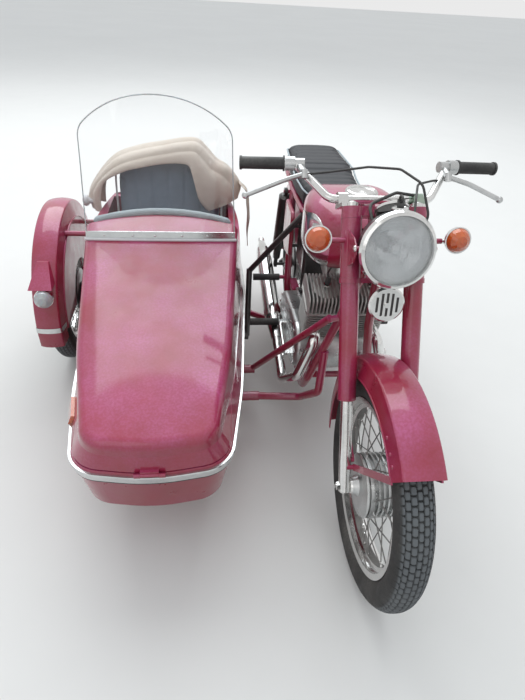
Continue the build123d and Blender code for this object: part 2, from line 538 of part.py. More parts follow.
STAND_LEG = 196
stand = bent([(76, STAND_Y, STAND_Z), (76, STAND_Y + STAND_LEG - 40, STAND_Z),
              (92, STAND_Y + STAND_LEG, STAND_Z)],
             9, 40)
stand_cross = rod((-76, STAND_Y + 90, STAND_Z), (76, STAND_Y + 90, STAND_Z), 8)
nodes["centre_stand"] = both(stand + rod((62, STAND_Y, STAND_Z), (88, STAND_Y, STAND_Z), 12)) + stand_cross \
    - rod((-95, STAND_Y, STAND_Z), (95, STAND_Y, STAND_Z), 6 + RUNNING_GAP)


# Sidecar body: plan outlines at several heights under a crowned top
HULL_LEVELS = (             # z, nose y, nose half, middle half, tail half, tail y, corner radius
    (FLOOR_Z, 56, 150, 226, 150, 1790, 75),
    (235, 18, 182, 268, 182, 1845, 88),
    (TRIM_Z, -9, 207, 300, 205, 1880, 95),
    (WAIST_Z, 0, 174, 292, 192, 1868, 84),
    (760, 8, 130, 268, 140, 1790, 66),
)
CROWN_R = 1000              # crosswise curve of cowl and deck
NOSE_TOP, NOSE_RISE = 490, 16.4
SHOULDER_R = 30             # round along both sides of the cowl
SILL_Z = 622
DECK_Z, DECK_FALL = 655, 22
DECK_FRONT = 1380
SIDECAR = Pos(SIDECAR_X, 0, 0)


def plan(level, inset):
    """Outline of the body at one height, drawn in by inset."""
    z, nose, nose_half, half, tail_half, tail, corner = level
    tip = (0, nose + inset)
    right = [(nose_half - inset, nose + inset + nose_half / 6), ((nose_half + half) / 2 - inset, 330),
             (half - inset, 948), (half - inset, 1200), (tail_half - inset, tail - inset)]
    face = polygon([tip] + right + [(-x, y) for x, y in reversed(right)])
    for (x, y), radius in zip([tip] + right, (2.4 * nose_half, corner, 1500, 1500, 1500, 90)):
        near = [v for v in face.vertices() if abs(abs(v.X) - x) < 0.01 and abs(v.Y - y) < 0.01]
        face = fillet(near, radius - inset)
    return Pos(0, 0, z) * face


def crowned(y, z, rise, grow):
    """Long cylinder whose crown passes the height z at y and rises backwards, raised by grow."""
    return Pos(0, y, z) * Rot(rise, 0, 0) * Pos(0, 0, -CROWN_R) * Rot(90, 0, 0) * Cylinder(CROWN_R + grow,
                                                                                           6000)


def body(inset):
    """Whole body as one closed solid, made smaller all round by inset."""
    levels = [(FLOOR_Z + inset,) + HULL_LEVELS[0][1:], *HULL_LEVELS[1:]]
    block = loft([plan(level, inset) for level in levels], ruled=True)
    cowl_end, deck_start = COWL_BACK + inset, DECK_FRONT + inset
    front = block & Pos(0, cowl_end - 1000, 0) * Box(1400, 2000, 3000)
    middle = block & Pos(0, (cowl_end + deck_start) / 2, 0) * Box(1400, deck_start - cowl_end,
                                                                  2 * (SILL_Z - inset))
    back = block & Pos(0, deck_start + 1000, 0) * Box(1400, 2000, 3000)
    front = front & crowned(0, NOSE_TOP, NOSE_RISE, -inset)
    if inset >= -SEAT_GAP:
        shoulders = [edge for edge in front.edges() if abs(edge.center().X) > 60
                     and edge.bounding_box().min.Z > WAIST_Z + 8 and edge.bounding_box().size.Y > 50]
        front = fillet(shoulders, SHOULDER_R - inset)
    return front + middle \
        + (back & crowned(DECK_FRONT, DECK_Z, -DECK_FALL, -inset))


outer_body = body(0)
inner_body = body(WALL)
cowl_side = [(-200, TRIM_Z + 17), (100, TRIM_Z + 17), (250, WAIST_Z), (COWL_BACK, WAIST_Z + 5),
             (COWL_BACK, 900),
             (-200, 900)]
cowl_space = extrude(polygon(cowl_side, Plane.YZ.offset(-400)), 800)
cowl_cut = [(-200, TRIM_Z + 17 - SHUT_GAP), (101, TRIM_Z + 17 - SHUT_GAP), (251, WAIST_Z - SHUT_GAP),
            (COWL_BACK + SHUT_GAP, WAIST_Z + 5 - SHUT_GAP), (COWL_BACK + SHUT_GAP, 900), (-200, 900)]
hull_cut = extrude(polygon(cowl_cut, Plane.YZ.offset(-400)), 800)
shell = outer_body - inner_body

# Cockpit mouth, boot lid and the bulkhead behind the seat
MOUTH_HALF, MOUTH_BACK = 242, 1346
LID_FRONT, LID_BACK, LID_HALF = 1520, 1800, 168
mouth = Pos(0, (700 + MOUTH_BACK) / 2, 700) * Box(2 * MOUTH_HALF, MOUTH_BACK - 700, 300)
lid_plan = Pos(0, (LID_FRONT + LID_BACK) / 2, 300) * extrude(
    RectangleRounded(2 * LID_HALF, LID_BACK - LID_FRONT, 40), 600)
lid_hole = Pos(0, (LID_FRONT + LID_BACK) / 2, 300) * extrude(
    RectangleRounded(2 * (LID_HALF + SHUT_GAP), LID_BACK - LID_FRONT + 2 * SHUT_GAP, 40 + SHUT_GAP), 600)
bulkhead = (Pos(0, MOUTH_BACK + WALL / 2, 400) * Box(700, WALL, 700)) & inner_body
HINGE_Y, HINGE_Z, HINGE_R, PIN_R = -9, TRIM_Z + 16, 5, 2.5


def hinge_leaf(y, z, start, end, low, high, reach):
    """Knuckle along X with the leaf that joins it to a wall."""
    barrel = Pos(start, y, z) * Rot(0, 90, 0) * Cylinder(HINGE_R, end - start,
                                                         align=(Align.CENTER, Align.CENTER, Align.MIN))
    leaf = Pos((start + end) / 2, y + reach / 2, (low + high) / 2) * Box(end - start, reach, high - low)
    return barrel + leaf


nose_pin = Pos(0, HINGE_Y, HINGE_Z) * Rot(0, 90, 0) * Cylinder(PIN_R, 80)
nose_knuckle = hinge_leaf(HINGE_Y, HINGE_Z, -23.5, 23.5, HINGE_Z + 1, HINGE_Z + 11, 12) - inner_body \
    - Pos(0, HINGE_Y, HINGE_Z) * Rot(0, 90, 0) * Cylinder(PIN_R + RUNNING_GAP, 150)
nose_leaves = hinge_leaf(HINGE_Y, HINGE_Z, 24, 40, HINGE_Z - 10.5, HINGE_Z - 3, 12)
nose_leaves = both(nose_leaves) - inner_body + nose_pin
LID_X, LID_HINGE_R, LID_PIN_R = 100, 7, 3
lid_surface = DECK_Z - (LID_FRONT - 2 - DECK_FRONT) * sin(radians(DECK_FALL)) / cos(radians(DECK_FALL))
lid_hinge = Pos(LID_X, LID_FRONT - 2, lid_surface - LID_X ** 2 / (2 * CROWN_R)) * Rot(-DECK_FALL, 0, 0)
lid_barrel = lid_hinge * Pos(0, 0, LID_HINGE_R + 4) * Rot(0, 90, 0)
lid_knuckle = lid_barrel * Cylinder(LID_HINGE_R, 29) + lid_hinge * Pos(0, 15, 2) * Box(29, 30, 12)
lid_bore = lid_barrel * Cylinder(LID_PIN_R + RUNNING_GAP, 40)
deck_knuckle = lid_barrel * Cylinder(LID_HINGE_R, 60) + lid_hinge * Pos(0, -15, 2) * Box(60, 30, 12)
deck_knuckle = deck_knuckle - lid_hinge * Pos(0, 0, 6) * Box(30, 20, 30) + lid_barrel * Cylinder(LID_PIN_R,
                                                                                                 60)
hull = (shell - hull_cut - mouth) - lid_hole + bulkhead + nose_leaves + both(deck_knuckle)
cowl = (shell & cowl_space) + nose_knuckle
nodes["sidecar_hull"] = SIDECAR * hull
nodes["cowl"] = SIDECAR * cowl
nodes["boot_lid"] = SIDECAR * ((shell & lid_plan) + both(lid_knuckle - lid_bore))

# Windscreen, its base strip, the padded roll and the bright moulding
SCREEN_T, SCREEN_R = 3, 700
SCREEN_Y, SCREEN_TILT = 728, 8
screen_axis = Pos(0, SCREEN_Y, 715) * Rot(-SCREEN_TILT, 0, 0) * Pos(0, SCREEN_R, 0)
SCREEN_CORNER, SCREEN_APEX = (236, 1030), (0, 1134)
screen_side = Polyline(SCREEN_CORNER, (248, 715), (252, 640), (-252, 640), (-248, 715), (-236, 1030))
screen_arch = ThreePointArc((-236, 1030), SCREEN_APEX, SCREEN_CORNER)
screen_outline = make_face(screen_side.edges() + screen_arch.edges())
screen_outline = Plane.XZ * fillet(screen_outline.vertices().group_by(Axis.Y)[-1], 64)
screen_band = extrude(screen_outline, -900)
screen_skin = screen_axis * (Cylinder(SCREEN_R, 1200) - Cylinder(SCREEN_R - SCREEN_T, 1200))
above_cowl = Box(4000, 4000, 4000) - crowned(0, NOSE_TOP, NOSE_RISE, SEAT_GAP)
nodes["windscreen"] = SIDECAR * (screen_skin & screen_band & above_cowl)
strip_skin = screen_axis * (Cylinder(SCREEN_R + SEAT_GAP + 2, 1200) - Cylinder(SCREEN_R + SEAT_GAP, 1200))
nodes["screen_strip"] = SIDECAR * (strip_skin & screen_band & above_cowl
                                   & crowned(0, NOSE_TOP, NOSE_RISE, 26))
ROLL_R, ROLL_HALF = 14, 238
roll_y = COWL_BACK + ROLL_R + SEAT_GAP
roll_z = NOSE_TOP + roll_y * sin(radians(NOSE_RISE)) / cos(radians(NOSE_RISE)) + 2
roll_arc = ThreePointArc((-ROLL_HALF, roll_y, roll_z - 36), (0, roll_y, roll_z),
                         (ROLL_HALF, roll_y, roll_z - 36))
nodes["cowl_roll"] = SIDECAR * sweep(Plane(origin=roll_arc @ 0, z_dir=roll_arc % 0) * Circle(ROLL_R),
                                     path=roll_arc)
moulding_band = Pos(0, 940, TRIM_Z - 8) * Box(1000, 3000, 25)
seat_skin = body(-SEAT_GAP)
nodes["trim_moulding"] = SIDECAR * ((body(-6) - seat_skin) & moulding_band)

# Passenger seat and the folded soft top
seat_back = polygon([(1236, 402), (1262, 402), (1334, 690), (1334, 792), (1312, 806), (1288, 780)],
                    Plane.YZ.offset(-222))
seat_back = extrude(fillet(seat_back.vertices(), 9), 444)
cushion = Pos(0, 1080, 330) * Box(430, 300, 142)
cushion = fillet(cushion.edges(), 24)
base_top = 330 - 71 - SEAT_GAP
seat_base = Pos(0, 1080, (FLOOR_Z + WALL + SEAT_GAP + base_top) / 2) * Box(380, 280,
                                                                           base_top - FLOOR_Z - WALL - SEAT_GAP)
nodes["sidecar_seat"] = SIDECAR * (seat_back + cushion + seat_base)
TOP_OUTER = ((-300, 600), (-305, 690), (-272, 757), (-222, 809), (-137, 854), (50, 894), (125, 892),
             (181, 843),
             (240, 797), (318, 716), (345, 590), (352, 470), (312, 470), (296, 610))
TOP_INNER = ((180, 610), (112, 726), (94, 821), (-48, 806), (-200, 770), (-244, 746), (-250, 600))
top_band = extrude(polygon(TOP_OUTER + TOP_INNER, Plane.XZ), -190)
nodes["soft_top"] = SIDECAR * (Pos(0, 1185, 0) * top_band - seat_skin) - nodes["sidecar_seat"]

# Sidecar running frame, struts to the motorcycle and the trailing arm
TUBE_X, TUBE_Z = 170, FLOOR_Z - CHASSIS_R - SEAT_GAP
ARM_Y, ARM_OUT = 930, 350
EDGE_X = 324                # struts stand clear of the body's side
FRONT_Y = 540
rails = both(rod((TUBE_X, 330, TUBE_Z), (TUBE_X, 1560, TUBE_Z), CHASSIS_R - 1.5))
crosses = [rod((-TUBE_X, y, TUBE_Z), (TUBE_X, y, TUBE_Z), CHASSIS_R) for y in (1400,)]
crosses += [rod((-ARM_OUT, ARM_Y, TUBE_Z), (EDGE_X, ARM_Y, TUBE_Z), CHASSIS_R)]
crosses += [rod((-TUBE_X, FRONT_Y, TUBE_Z), (EDGE_X + 12, FRONT_Y, TUBE_Z), CHASSIS_R)]
crosses += [rod((TUBE_X, 700, TUBE_Z), (EDGE_X + 8, 700, TUBE_Z), CHASSIS_R)]
posts = rod((EDGE_X - 6, ARM_Y, TUBE_Z), (EDGE_X, 1000, 456), 12)
JOIN_X = SIDECAR_X + EDGE_X
struts = rod((JOIN_X, 1000, 446), (-102, 878, SEAT_RAIL_Z), 11)
struts += rod((JOIN_X, 700, TUBE_Z + 4), (-84, 396, 606), 12) + rod((-86, 398, 600), (-44, 414, 598), 10)
struts += bent([(JOIN_X, FRONT_Y, TUBE_Z), (-120, 500, 200), (-78, 420, 290), (-70, 446, 444)], 14, 36)
struts += rod((SIDECAR_X + TUBE_X, 1230, TUBE_Z - 6), (-104, 960, RAIL_Z), 14)
nodes["sidecar_frame"] = SIDECAR * (rails + crosses + posts) + struts - nodes["main_frame"]

hub_x = WHEEL_X - SIDECAR_X
arm_bore = Pos(-ARM_OUT + 40, ARM_Y, TUBE_Z) * Rot(0, 90, 0) * Cylinder(CHASSIS_R + RUNNING_GAP, 200)
arm_start, arm_end = (-ARM_OUT + 14, ARM_Y, TUBE_Z), (-ARM_OUT - 14, WHEEL_Y, SIDECAR_TYRE_R)
arm_body = bent([arm_start, (-ARM_OUT + 10, ARM_Y + 60, TUBE_Z + 12),
                 (-ARM_OUT - 14, WHEEL_Y - 40, SIDECAR_TYRE_R - 24),
                 arm_end], 15, 30)
trail_eye = Pos(-ARM_OUT + 18, ARM_Y, TUBE_Z) * Rot(0, 90, 0) * Cylinder(26, 44)
stub = rod((-ARM_OUT - 2, WHEEL_Y, SIDECAR_TYRE_R), (hub_x - 78, WHEEL_Y, SIDECAR_TYRE_R), AXLE_R)
plate_place = Pos(hub_x, WHEEL_Y, SIDECAR_TYRE_R)
arm_plate = plate_place * lathe_x([(37, AXLE_R - 1), (37, 84), (42, 88), (46, 84), (50, 60), (51, 30),
                                   (60, 26), (70, 22),
                                   (70, AXLE_R - 1)])
stub_nut = Pos(hub_x - 66, WHEEL_Y, SIDECAR_TYRE_R) * nut
nodes["sidecar_arm"] = SIDECAR * (arm_body + trail_eye - arm_bore + stub + arm_plate + stub_nut)

# Sidecar fender with stays, lamps and the side reflector
GUARD_R, GUARD_HALF = 374, 52
valance = polygon([(GUARD_HALF - FENDER_T, 130), (GUARD_HALF, 130), (GUARD_HALF, GUARD_R - 70),
                   (GUARD_HALF - FENDER_T, GUARD_R - 70)], Plane.XZ)
bead = Pos(GUARD_HALF, 0, GUARD_R - 72) * (Plane.XZ * Circle(3.5))
fender_side = side_place * (fender(GUARD_R, GUARD_HALF, 78, 8, 0, 184) + swept(valance, 0, 184)
                            + swept(bead, 0, 184))
stays = []
for angle in (70, 142):
    y = WHEEL_Y - 318 * cos(radians(angle))
    z = SIDECAR_TYRE_R + 318 * sin(radians(angle))
    stays.append(rod((WHEEL_X + GUARD_HALF - 2, y, z), (SIDECAR_X - 250, y, z), 10))
bracket_side = extrude(polygon([(750, 497), (806, 497), (856, 560), (842, 562)],
                               Plane.YZ.offset(WHEEL_X - 46)), 92)
bracket_front = extrude(polygon([(WHEEL_X - 46, 480), (WHEEL_X + 46, 480), (WHEEL_X + 20, 562),
                                 (WHEEL_X - 20, 562)],
                                Plane.XZ.offset(-900)), 300)
nodes["sidecar_fender"] = fender_side + stays + (bracket_side & bracket_front) - SIDECAR * seat_skin
fender_block = side_place * Rot(0, 90, 0) * Cylinder(GUARD_R + SEAT_GAP, 400)
MARKER_R = 33
marker_place = side_place * Rot(-24, 0, 0) * Pos(6, -402, 0) * Rot(90 + 24, 0, 0)
marker_base = marker_place * lathe([(0, -46), (24, -46), (MARKER_R, -14), (MARKER_R, 0), (0, 0)])
nodes["marker_lamps"] = (marker_base - fender_block - nodes["sidecar_fender"]) + nodes.pop("tail_lamp")
marker_lens = marker_place * Pos(0, 0, SEAT_GAP) * lathe([(0, 0), (MARKER_R - 1, 0), (MARKER_R - 3, 12),
                                                          (15, 24), (0, 28)])
nodes["marker_lens"] = marker_lens
reflector_y, reflector_z = 238, TRIM_Z + 17
reflector_body = Pos(-250, reflector_y, reflector_z) * Box(90, 82, 30)
nodes["side_reflector"] = SIDECAR * ((reflector_body & body(-10)) - seat_skin) - nodes["trim_moulding"]


# Move the whole machine over its origin and write every piece
whole = Compound(children=[Compound(shape.wrapped) for shape in nodes.values()]).bounding_box()
CENTRE = Pos(-(whole.min.X + whole.max.X) / 2, -(whole.min.Y + whole.max.Y) / 2, -whole.min.Z)
os.makedirs("parts", exist_ok=True)
for name, shape in nodes.items():
    export_step(CENTRE * shape, f"parts/{name}.step")
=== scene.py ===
"""Studio scene of a carmine sidecar motorcycle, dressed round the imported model.

Places are written in the drawing's own millimetres: x grows to the rider's left, y to the rear from the
front axle and z up from the ground. `placed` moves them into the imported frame, in metres.
"""

import logging
from collections.abc import Callable, Sequence
from dataclasses import dataclass
from enum import Enum

import bmesh
import bpy
import numpy as np
from mathutils import Matrix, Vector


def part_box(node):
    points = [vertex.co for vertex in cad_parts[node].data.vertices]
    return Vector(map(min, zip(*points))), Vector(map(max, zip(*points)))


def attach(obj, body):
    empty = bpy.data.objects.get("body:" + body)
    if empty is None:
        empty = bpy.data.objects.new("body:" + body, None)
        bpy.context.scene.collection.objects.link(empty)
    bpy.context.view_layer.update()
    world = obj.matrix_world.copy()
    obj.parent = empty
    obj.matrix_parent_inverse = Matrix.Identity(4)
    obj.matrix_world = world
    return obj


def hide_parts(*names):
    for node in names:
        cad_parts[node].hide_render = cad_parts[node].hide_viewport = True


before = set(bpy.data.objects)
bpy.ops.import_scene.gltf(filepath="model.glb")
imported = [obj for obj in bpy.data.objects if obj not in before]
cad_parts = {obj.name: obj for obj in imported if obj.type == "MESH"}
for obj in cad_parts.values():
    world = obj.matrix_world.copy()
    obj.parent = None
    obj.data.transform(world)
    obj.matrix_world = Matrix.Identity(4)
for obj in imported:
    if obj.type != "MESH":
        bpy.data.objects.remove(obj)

LOG = logging.getLogger("sidecar_motorcycle")
MM = 0.001
RAKE = np.radians(28.0)
LAMP_TILT = 12.0
SIDECAR_X = -602.0
FRONT_HUB = (0.0, 0.0, 318.0)
REAR_HUB = (0.0, 1336.0, 318.0)
SIDECAR_HUB = (-1034.0, 1120.0, 298.0)
SHEEN_ROUGHNESS = 0.5
SCATTER_DEPTH = 0.004
SWELL_FRAMES = 20
SWELL_PRESSURE = 4.0
CLOTH_THICKNESS = 0.0018
Colour = tuple[float, float, float]
Point = Sequence[float]
Node, Socket, Tree = bpy.types.Node, bpy.types.NodeSocket, bpy.types.NodeTree
Material, Piece = bpy.types.Material, bpy.types.Object
Layers = tuple[Socket, Socket, Socket]


def drawing_origin() -> np.ndarray:
    """Find the drawing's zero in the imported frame, in metres: under the middle of the front tyre."""
    low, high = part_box("front_tyre")
    return np.array([(low.x + high.x) / 2, (low.y + high.y) / 2, low.z])


ORIGIN = drawing_origin()


def placed(points: np.ndarray) -> np.ndarray:
    """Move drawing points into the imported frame: the drawing's zero plus the point in metres."""
    return ORIGIN + np.asarray(points, float) * MM


def on_fork(x: float, lead: float, height: float) -> np.ndarray:
    """Give a point of the raked fork: the height runs along the legs, the lead stands forward of them.

    Args:
        x: Sideways place.
        lead: Distance ahead of the axle line.
        height: Distance up the legs from the axle.

    Returns:
        The point in drawing millimetres.
    """
    back = height * np.sin(RAKE) - lead * np.cos(RAKE)
    up = FRONT_HUB[2] + height * np.cos(RAKE) + lead * np.sin(RAKE)
    return np.array([x, back, up])


@dataclass(frozen=True)
class Place:
    """A local frame in the drawing: an origin, the way its z looks and the way its x runs."""

    origin: Point
    outward: Point
    across: Point = (1.0, 0.0, 0.0)

    def put(self, local: np.ndarray | Point) -> np.ndarray:
        """Turn local points into drawing points: origin plus x, y and z along the frame's axes.

        Args:
            local: Points in the local frame, last axis of length three.

        Returns:
            The points in drawing millimetres.
        """
        z = np.array(self.outward, float) / np.linalg.norm(self.outward)
        x = np.array(self.across, float) - np.dot(self.across, z) * z
        x /= np.linalg.norm(x)
        axes = np.stack([x, np.cross(z, x), z])
        return np.array(self.origin, float) + np.asarray(local, float) @ axes

    def way(self, local: Point) -> np.ndarray:
        """Turn a local direction into one of the drawing."""
        return self.put(local) - np.array(self.origin, float)


def facing(point: Point, tilt: float = 0.0) -> Place:
    """Give the frame of a lamp or horn at a point, whose z looks forward and up by the tilt in degrees."""
    angle = np.radians(tilt)
    return Place(point, (0.0, -np.cos(angle), np.sin(angle)))


def full_turn(steps: int) -> np.ndarray:
    """Return even angles round a circle, from zero and without the one that meets it again."""
    return np.linspace(0, 2 * np.pi, steps, endpoint=False)


def signed_power(value: np.ndarray, power: float | np.ndarray) -> np.ndarray:
    """Keep the sign and raise the size to the power."""
    return np.sign(value) * np.abs(value) ** power


def turned(profile: Sequence[Point], steps: int, place: Place) -> np.ndarray:
    """Revolve a profile: each row is a circle of the profile's radius at the profile's height.

    Args:
        profile: Pairs of radius and height.
        steps: Points round each circle.
        place: Frame whose z is the axis.

    Returns:
        Grid of points, rows along the profile.
    """
    radius, height = np.array(profile, float).T
    angle = full_turn(steps)
    level = np.repeat(height[:, None], steps, axis=1)
    circles = [np.outer(radius, np.cos(angle)), np.outer(radius, np.sin(angle)), level]
    return place.put(np.stack(circles, axis=-1))


def smooth_line(knots: Sequence[Point], count: int) -> np.ndarray:
    """Lead a smooth line through knots: each span is the cubic fixed by its ends and their neighbours.

    Args:
        knots: Points that the line passes.
        count: Number of points returned.

    Returns:
        Points along the line.
    """
    base = np.array(knots, float)
    ends = np.vstack([2 * base[0] - base[1], base, 2 * base[-1] - base[-2]])
    run = np.linspace(0, len(base) - 1 - 1e-9, count)
    span = run.astype(int)
    t = (run - span)[:, None]
    a, b, c, d = ends[span], ends[span + 1], ends[span + 2], ends[span + 3]
    return 0.5 * (2 * b + (c - a) * t + (2 * a - 5 * b + 4 * c - d) * t**2 + (3 * b - a - 3 * c + d) * t**3)


def tube(path: np.ndarray, radius: float | np.ndarray, sides: int, closed: bool = False) -> np.ndarray:
    """Carry a circle along a path, square to it, with a fixed direction as its reference.

    Args:
        path: Points of the middle line.
        radius: Radius everywhere or at each point.
        sides: Points round the circle.
        closed: Whether the path returns to its start.

    Returns:
        Grid of points, one ring for each path point.
    """
    if closed:
        tangent = np.roll(path, -1, axis=0) - np.roll(path, 1, axis=0)
    else:
        tangent = np.gradient(path, axis=0)
    tangent /= np.linalg.norm(tangent, axis=1)[:, None]
    reference = np.eye(3)[np.argmin(np.abs(tangent).max(axis=0))]
    side = np.cross(tangent, reference)
    side /= np.linalg.norm(side, axis=1)[:, None]
    other = np.cross(tangent, side)
    angle = full_turn(sides)
    reach = np.broadcast_to(np.asarray(radius, float), (len(path),))[:, None, None]
    ring = np.cos(angle)[None, :, None] * side[:, None] + np.sin(angle)[None, :, None] * other[:, None]
    return path[:, None] + reach * ring


def arc_through(start: Point, middle: Point, end: Point, count: int) -> np.ndarray:
    """Sample the circle through three plane points, from the first to the last by way of the second.

    Args:
        start: First point.
        middle: A point between.
        end: Last point.
        count: Number of points.

    Returns:
        Points along the arc.
    """
    a, b, c = (np.array(p, float) for p in (start, middle, end))
    left = 2 * np.array([b - a, c - a])
    centre = np.linalg.solve(left, np.array([b @ b - a @ a, c @ c - a @ a]))
    angles = np.unwrap([np.arctan2(*(p - centre)[::-1]) for p in (a, b, c)])
    sweep = np.linspace(angles[0], angles[2], count)
    return centre + np.linalg.norm(a - centre) * np.stack([np.cos(sweep), np.sin(sweep)], axis=-1)


def wheel_arc(hub: Point, x: float, reach: float, start: float, end: float, count: int = 90) -> np.ndarray:
    """Trace a line round a wheel at a radius and a sideways place, between angles from straight ahead.

    Args:
        hub: The wheel's middle.
        x: Sideways distance from the middle.
        reach: Radius of the line.
        start: First angle in degrees.
        end: Last angle in degrees.
        count: Number of points.

    Returns:
        Points in the drawing.
    """
    angle = np.radians(np.linspace(start, end, count))
    line = [np.full_like(angle, x), -reach * np.cos(angle), reach * np.sin(angle)]
    return np.array(hub) + np.stack(line, axis=-1)


class Relief(Enum):
    """Kind of fine surface that a finish shows."""

    PEEL = "orange peel of sprayed paint"
    CAST = "grain of sand casting"
    BRUSHED = "fine lines of brushed metal"
    HIDE = "pebbled grain of leathercloth"
    RUBBER = "dull skin of rubber"
    WOVEN = "plain weave"


class Writer:
    """Writes the nodes of one shader tree."""

    def __init__(self, tree: Tree) -> None:
        """Take the tree to write in, a material's or a group's."""
        self.tree = tree

    def node(self, kind: str, inputs: dict | None = None, **settings: object) -> Node:
        """Add a node, link or set its inputs and set its options.

        Args:
            kind: Node type.
            inputs: Input name or number to a socket or a value.
            settings: Attributes of the node.

        Returns:
            The new node.
        """
        new = self.tree.nodes.new(kind)
        for key, value in settings.items():
            setattr(new, key, value)
        for key, value in (inputs or {}).items():
            if isinstance(value, Socket):
                self.tree.links.new(value, new.inputs[key])
            else:
                new.inputs[key].default_value = value
        return new

    def maths(self, operation: str, *values: object) -> Socket:
        """Add a math node over the values and return its result."""
        return self.node("ShaderNodeMath", dict(enumerate(values)), operation=operation).outputs[0]

    def vector(self, operation: str, *values: object) -> Node:
        """Add a vector math node over the values and return it."""
        return self.node("ShaderNodeVectorMath", dict(enumerate(values)), operation=operation)

    def blend(self, factor: object, first: object, second: object) -> Socket:
        """Add a colour mix of two colours and return its result."""
        mix = self.node("ShaderNodeMix", {0: factor, 6: first, 7: second}, data_type="RGBA")
        return mix.outputs[2]

    def spread(self, value: object, low: float, high: float, start: float = 0.0, end: float = 1.0) -> Socket:
        """Map a value from start..end to low..high, clamped, and return the result."""
        ranged = self.node("ShaderNodeMapRange", {0: value, 1: start, 2: end, 3: low, 4: high})
        return ranged.outputs[0]

    def noise(self, coords: object, scale: float, detail: float = 4.0) -> Socket:
        """Add fractal noise over the coordinates and return its factor."""
        inputs = {"Vector": coords, "Scale": scale, "Detail": detail}
        return self.node("ShaderNodeTexNoise", inputs).outputs[0]

    def shown(self) -> Socket:
        """Tell the rays that show a thing from the light that it throws.

        Returns:
            One for rays from the camera, off gloss and through glass, and zero for the rest.
        """
        path = self.node("ShaderNodeLightPath").outputs
        mirrored = self.maths("MAXIMUM", path["Is Glossy Ray"], path["Is Transmission Ray"])
        return self.maths("MAXIMUM", path["Is Camera Ray"], mirrored)


def new_group(name: str, inputs: dict[str, str], outputs: dict[str, str]) -> tuple[Tree, Writer]:
    """Start a node group with its sockets.

    Args:
        name: Group name.
        inputs: Input names and socket kinds.
        outputs: Output names and socket kinds.

    Returns:
        The group and a writer for it.
    """
    tree = bpy.data.node_groups.new(name, "ShaderNodeTree")
    for sockets, way in ((inputs, "INPUT"), (outputs, "OUTPUT")):
        for label, kind in sockets.items():
            tree.interface.new_socket(name=label, in_out=way, socket_type=kind)
    return tree, Writer(tree)


FLOAT, COLOUR = "NodeSocketFloat", "NodeSocketColor"


def dust_and_sheen_group() -> Tree:
    """Build the mask of dust and painted sheen: how far the surface looks up, times clouds of noise, specks
    and the amount.

    Returns:
        The group, with the amount as its input.
    """
    tree, w = new_group("settled_dust_and_painted_sheen", {"Amount": FLOAT}, {"Mask": FLOAT})
    enter, leave = w.node("NodeGroupInput"), w.node("NodeGroupOutput")
    coords = w.node("ShaderNodeTexCoord").outputs["Object"]
    up = w.node("ShaderNodeSeparateXYZ", {0: w.node("ShaderNodeNewGeometry").outputs["Normal"]}).outputs[2]
    # Up-facing surfaces take more: settled dust on most finishes, and painted sky sheen on the carmine paint
    # and the leathercloths.
    facing_up = w.spread(up, 0.25, 1.0, -0.2, 0.9)
    cloud = w.spread(w.noise(coords, 7.0, 6.0), 0.15, 1.0, 0.35, 0.72)
    speck = w.spread(w.noise(coords, 160.0, 3.0), 0.6, 1.0, 0.4, 0.65)
    patches = w.maths("MULTIPLY", facing_up, cloud)
    mask = w.maths("MULTIPLY", patches, w.maths("MULTIPLY", speck, enter.outputs[0]))
    tree.links.new(mask, leave.inputs[0])
    return tree


def mottle_group() -> Tree:
    """Build the mottle: two shades mixed by large and small noise together.

    Returns:
        The group, with two colours and a scale as inputs.
    """
    inputs = {"First": COLOUR, "Second": COLOUR, "Scale": FLOAT}
    tree, w = new_group("shade_mottle", inputs, {"Colour": COLOUR})
    enter, leave = w.node("NodeGroupInput"), w.node("NodeGroupOutput")
    coords = w.node("ShaderNodeTexCoord").outputs["Object"]
    large = w.noise(coords, enter.outputs["Scale"], 5.0)
    small = w.noise(coords, w.maths("MULTIPLY", enter.outputs["Scale"], 9.0), 3.0)
    both = w.maths("ADD", w.maths("MULTIPLY", large, 0.7), w.maths("MULTIPLY", small, 0.3))
    factor = w.spread(both, 0.0, 1.0, 0.38, 0.62)
    tree.links.new(w.blend(factor, enter.outputs["First"], enter.outputs["Second"]), leave.inputs[0])
    return tree


def relief_group(kind: Relief) -> Tree:
    """Build the height of one kind of surface from noise, cells or crossed waves.

    Args:
        kind: Which surface.

    Returns:
        The group, with the grain's scale as input and its height as output.
    """
    tree, w = new_group("relief_" + kind.name.lower(), {"Scale": FLOAT}, {"Height": FLOAT})
    enter, leave = w.node("NodeGroupInput"), w.node("NodeGroupOutput")
    coords = w.node("ShaderNodeTexCoord").outputs["Object"]
    scale = enter.outputs["Scale"]
    if kind is Relief.HIDE:
        cells = w.node("ShaderNodeTexVoronoi", {"Vector": coords, "Scale": scale}, feature="DISTANCE_TO_EDGE")
        height = w.spread(cells.outputs[0], 0.0, 1.0, 0.0, 0.22)
    elif kind is Relief.BRUSHED:
        stretched = w.node("ShaderNodeMapping", {0: coords, 3: (1.0, 1.0, 24.0)}).outputs[0]
        height = w.noise(stretched, scale, 2.0)
    elif kind is Relief.WOVEN:
        thread = w.node("ShaderNodeAttribute", attribute_name="thread").outputs["Vector"]
        parts = w.node("ShaderNodeSeparateXYZ", {0: thread})
        warp = w.maths("SINE", w.maths("MULTIPLY", parts.outputs[0], scale))
        weft = w.maths("SINE", w.maths("MULTIPLY", parts.outputs[1], scale))
        height = w.maths("ADD", w.maths("MULTIPLY", w.maths("MULTIPLY", warp, weft), 0.5),
                         w.noise(coords, 900.0, 2.0))
    else:
        detail = {Relief.PEEL: 1.0, Relief.CAST: 8.0, Relief.RUBBER: 5.0}[kind]
        height = w.noise(coords, scale, detail)
    tree.links.new(height, leave.inputs[0])
    return tree


